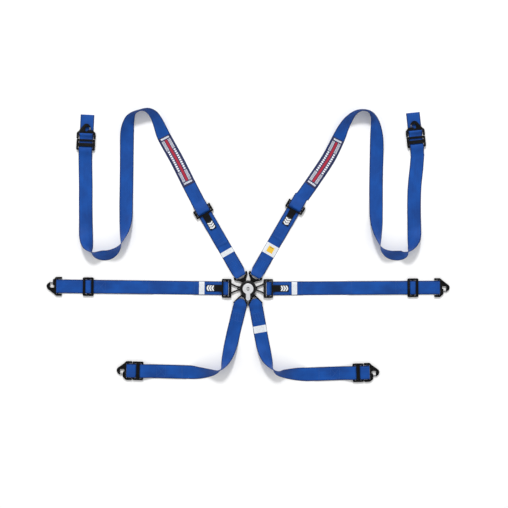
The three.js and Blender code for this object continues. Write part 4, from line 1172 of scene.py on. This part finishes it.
def make_lock():
    stand_in("lock_back_plate", "turned", turned(BACK_OUTLINE), COAT)
    housing = stand_in("lock_housing", "turned", turned(HOUSING_OUTLINE, 120), COAT)
    slots = []
    for heading in SLOT_HEADINGS:
        slot = box(22, 34, -9, 9, 2.3, 8.1)
        slot.transform(placed(LOCK, heading))
        slots.append(slot)
    cut(housing, joined(slots))

    base = stand_in("lever_base", "moulded", prism(keyhole(22.3, 10, 44.5), 20.4, 22.5, 0.5), COAT)
    cut(base, upright(0, 0, 6.8, 19, 24, 48))
    lever = stand_in("release_lever", "cast", prism(keyhole(19.3, 7.5, 42.5), 22.8, 26.4, 0.7), LEVER)
    ring = turned([(11.2, 25.9), (12.2, 25.9), (12.2, 27), (11.2, 27)])
    groups = [ring]
    for y in (LEVER_SCREW_AT, -LEVER_SCREW_AT):
        groups += [upright(0, y, 2.4, 24.6, 28), upright(0, y, 1.6, 22, 24.6)]
    for y in LEVER_GRIPS_AT:
        groups.append(box(-4.5, 4.5, y - 0.6, y + 0.6, 25.9, 27))
    cut(lever, joined(groups))
    for name in ("lever_screw_upper", "lever_screw_lower"):
        y = LEVER_SCREW_AT if name.endswith("upper") else -LEVER_SCREW_AT
        outline = [(1.3, 17.7, 0), (1.3, 24.9, 0), (2.05, 24.95, 0), (2.05, 25.8, 0), (1.75, 26.1, 0)]
        screw = spindle(outline)
        screw.transform(Matrix.Translation((0, y, 0)))
        screw = stand_in(name, "socket", screw, STEEL)
        cut(screw, upright(0, y, 1.0, 25.2, 27, 6))


def make_slide_bar(node, heading, distance, height):
    """A bar with fine lengthwise ridges and a plain pin at each end."""
    profile = [(1.2, -34, False), (1.5, -33.7, False), (1.5, -28.6, False), (3.6, -28.6, False),
               (4, -28.2, True), (4, 28.2, True), (3.6, 28.6, False), (1.5, 28.6, False),
               (1.5, 33.7, False), (1.2, 34, False)]
    bar = spindle(profile, 48, 0.35)
    bar.transform(placed(LOCK, heading) @ Matrix.Translation((distance, 0, height))
                  @ Matrix.Rotation(math.pi / 2, 4, "X"))
    stand_in(node, "ridged", bar, STEEL, sharp=25)


def make_rivet(name, body, matrix, radius, low, high):
    """A domed rivet through a plate, head on both faces."""
    outline = [(radius * 0.5, low - 0.7, 0), (radius * 0.85, low - 0.45, 0), (radius, low, 0),
               (radius, high, 0), (radius * 0.85, high + 0.45, 0), (radius * 0.5, high + 0.7, 0)]
    rivet = spindle(outline)
    rivet.transform(matrix)
    finish_piece(name, rivet, STEEL, body)


def make_hook(name, origin, heading, distance, height, mouth):
    rounded_copy(f"{name}_hook", STEEL, 0.7, 3)
    rounded_copy(f"{name}_gate", BRIGHT, 0.35)
    place = placed(origin, heading, height) @ Matrix.Translation((distance, 0, 0))
    pivot = place @ Matrix.Translation((GATE_PIVOT[0] + 0.4, mouth * GATE_PIVOT[1], 0))
    make_rivet(f"{name}_gate_rivet", body_of(f"{name}_gate"), pivot, 1.3, -1.65, 1.65)


def make_metal():
    for node in NODES:
        kind = node.rsplit("_", 1)[0]
        if kind in ("lap_tongue", "shoulder_tongue", "crotch_tongue"):
            rounded_copy(node, STEEL, 0.55)
        elif kind == "shoulder_adjuster_frame":
            rounded_copy(node, STEEL, 0.45)
        elif kind in ("lap_slider", "shoulder_slider", "crotch_slider"):
            rounded_copy(node, STEEL, 0.7, 3)
        elif node in ("cam_rotor", "return_spring") or node.startswith("latch_"):
            slot = NODES[node].material_slots[0]
            slot.link = "OBJECT"
            slot.material = BRIGHT
    for spec in LAPS:
        make_slide_bar(f"lap_slide_bar_{spec['side']}", spec["heading"], spec["frame"] + 17,
                       FLOOR_LAYER + SLIDE_LOOP_RADIUS)
        make_hook(f"lap_{spec['side']}", LOCK, spec["heading"], LAP_HOOK, LOW_BAR_HEIGHT, spec["mouth"])
    for spec in SHOULDERS:
        make_slide_bar(f"shoulder_slide_bar_{spec['side']}", spec["heading"], spec["adjuster"],
                       SHOULDER_SLIDE_HEIGHT)
    far_ends = [("shoulder", spec, HIGH_BAR_HEIGHT) for spec in SHOULDERS]
    far_ends += [("crotch", spec, LOW_BAR_HEIGHT) for spec in CROTCHES]
    for kind, spec, height in far_ends:
        make_hook(f"{kind}_{spec['side']}", spec["end"], spec["end_heading"],
                  spec["slider"] + SLIDER_TO_HOOK, height, spec["mouth"])


make_camera()
make_studio()
make_lock()
make_metal()
for belt in LAPS:
    make_lap(belt)
for belt in SHOULDERS:
    make_shoulder(belt)
for belt in CROTCHES:
    make_crotch(belt)
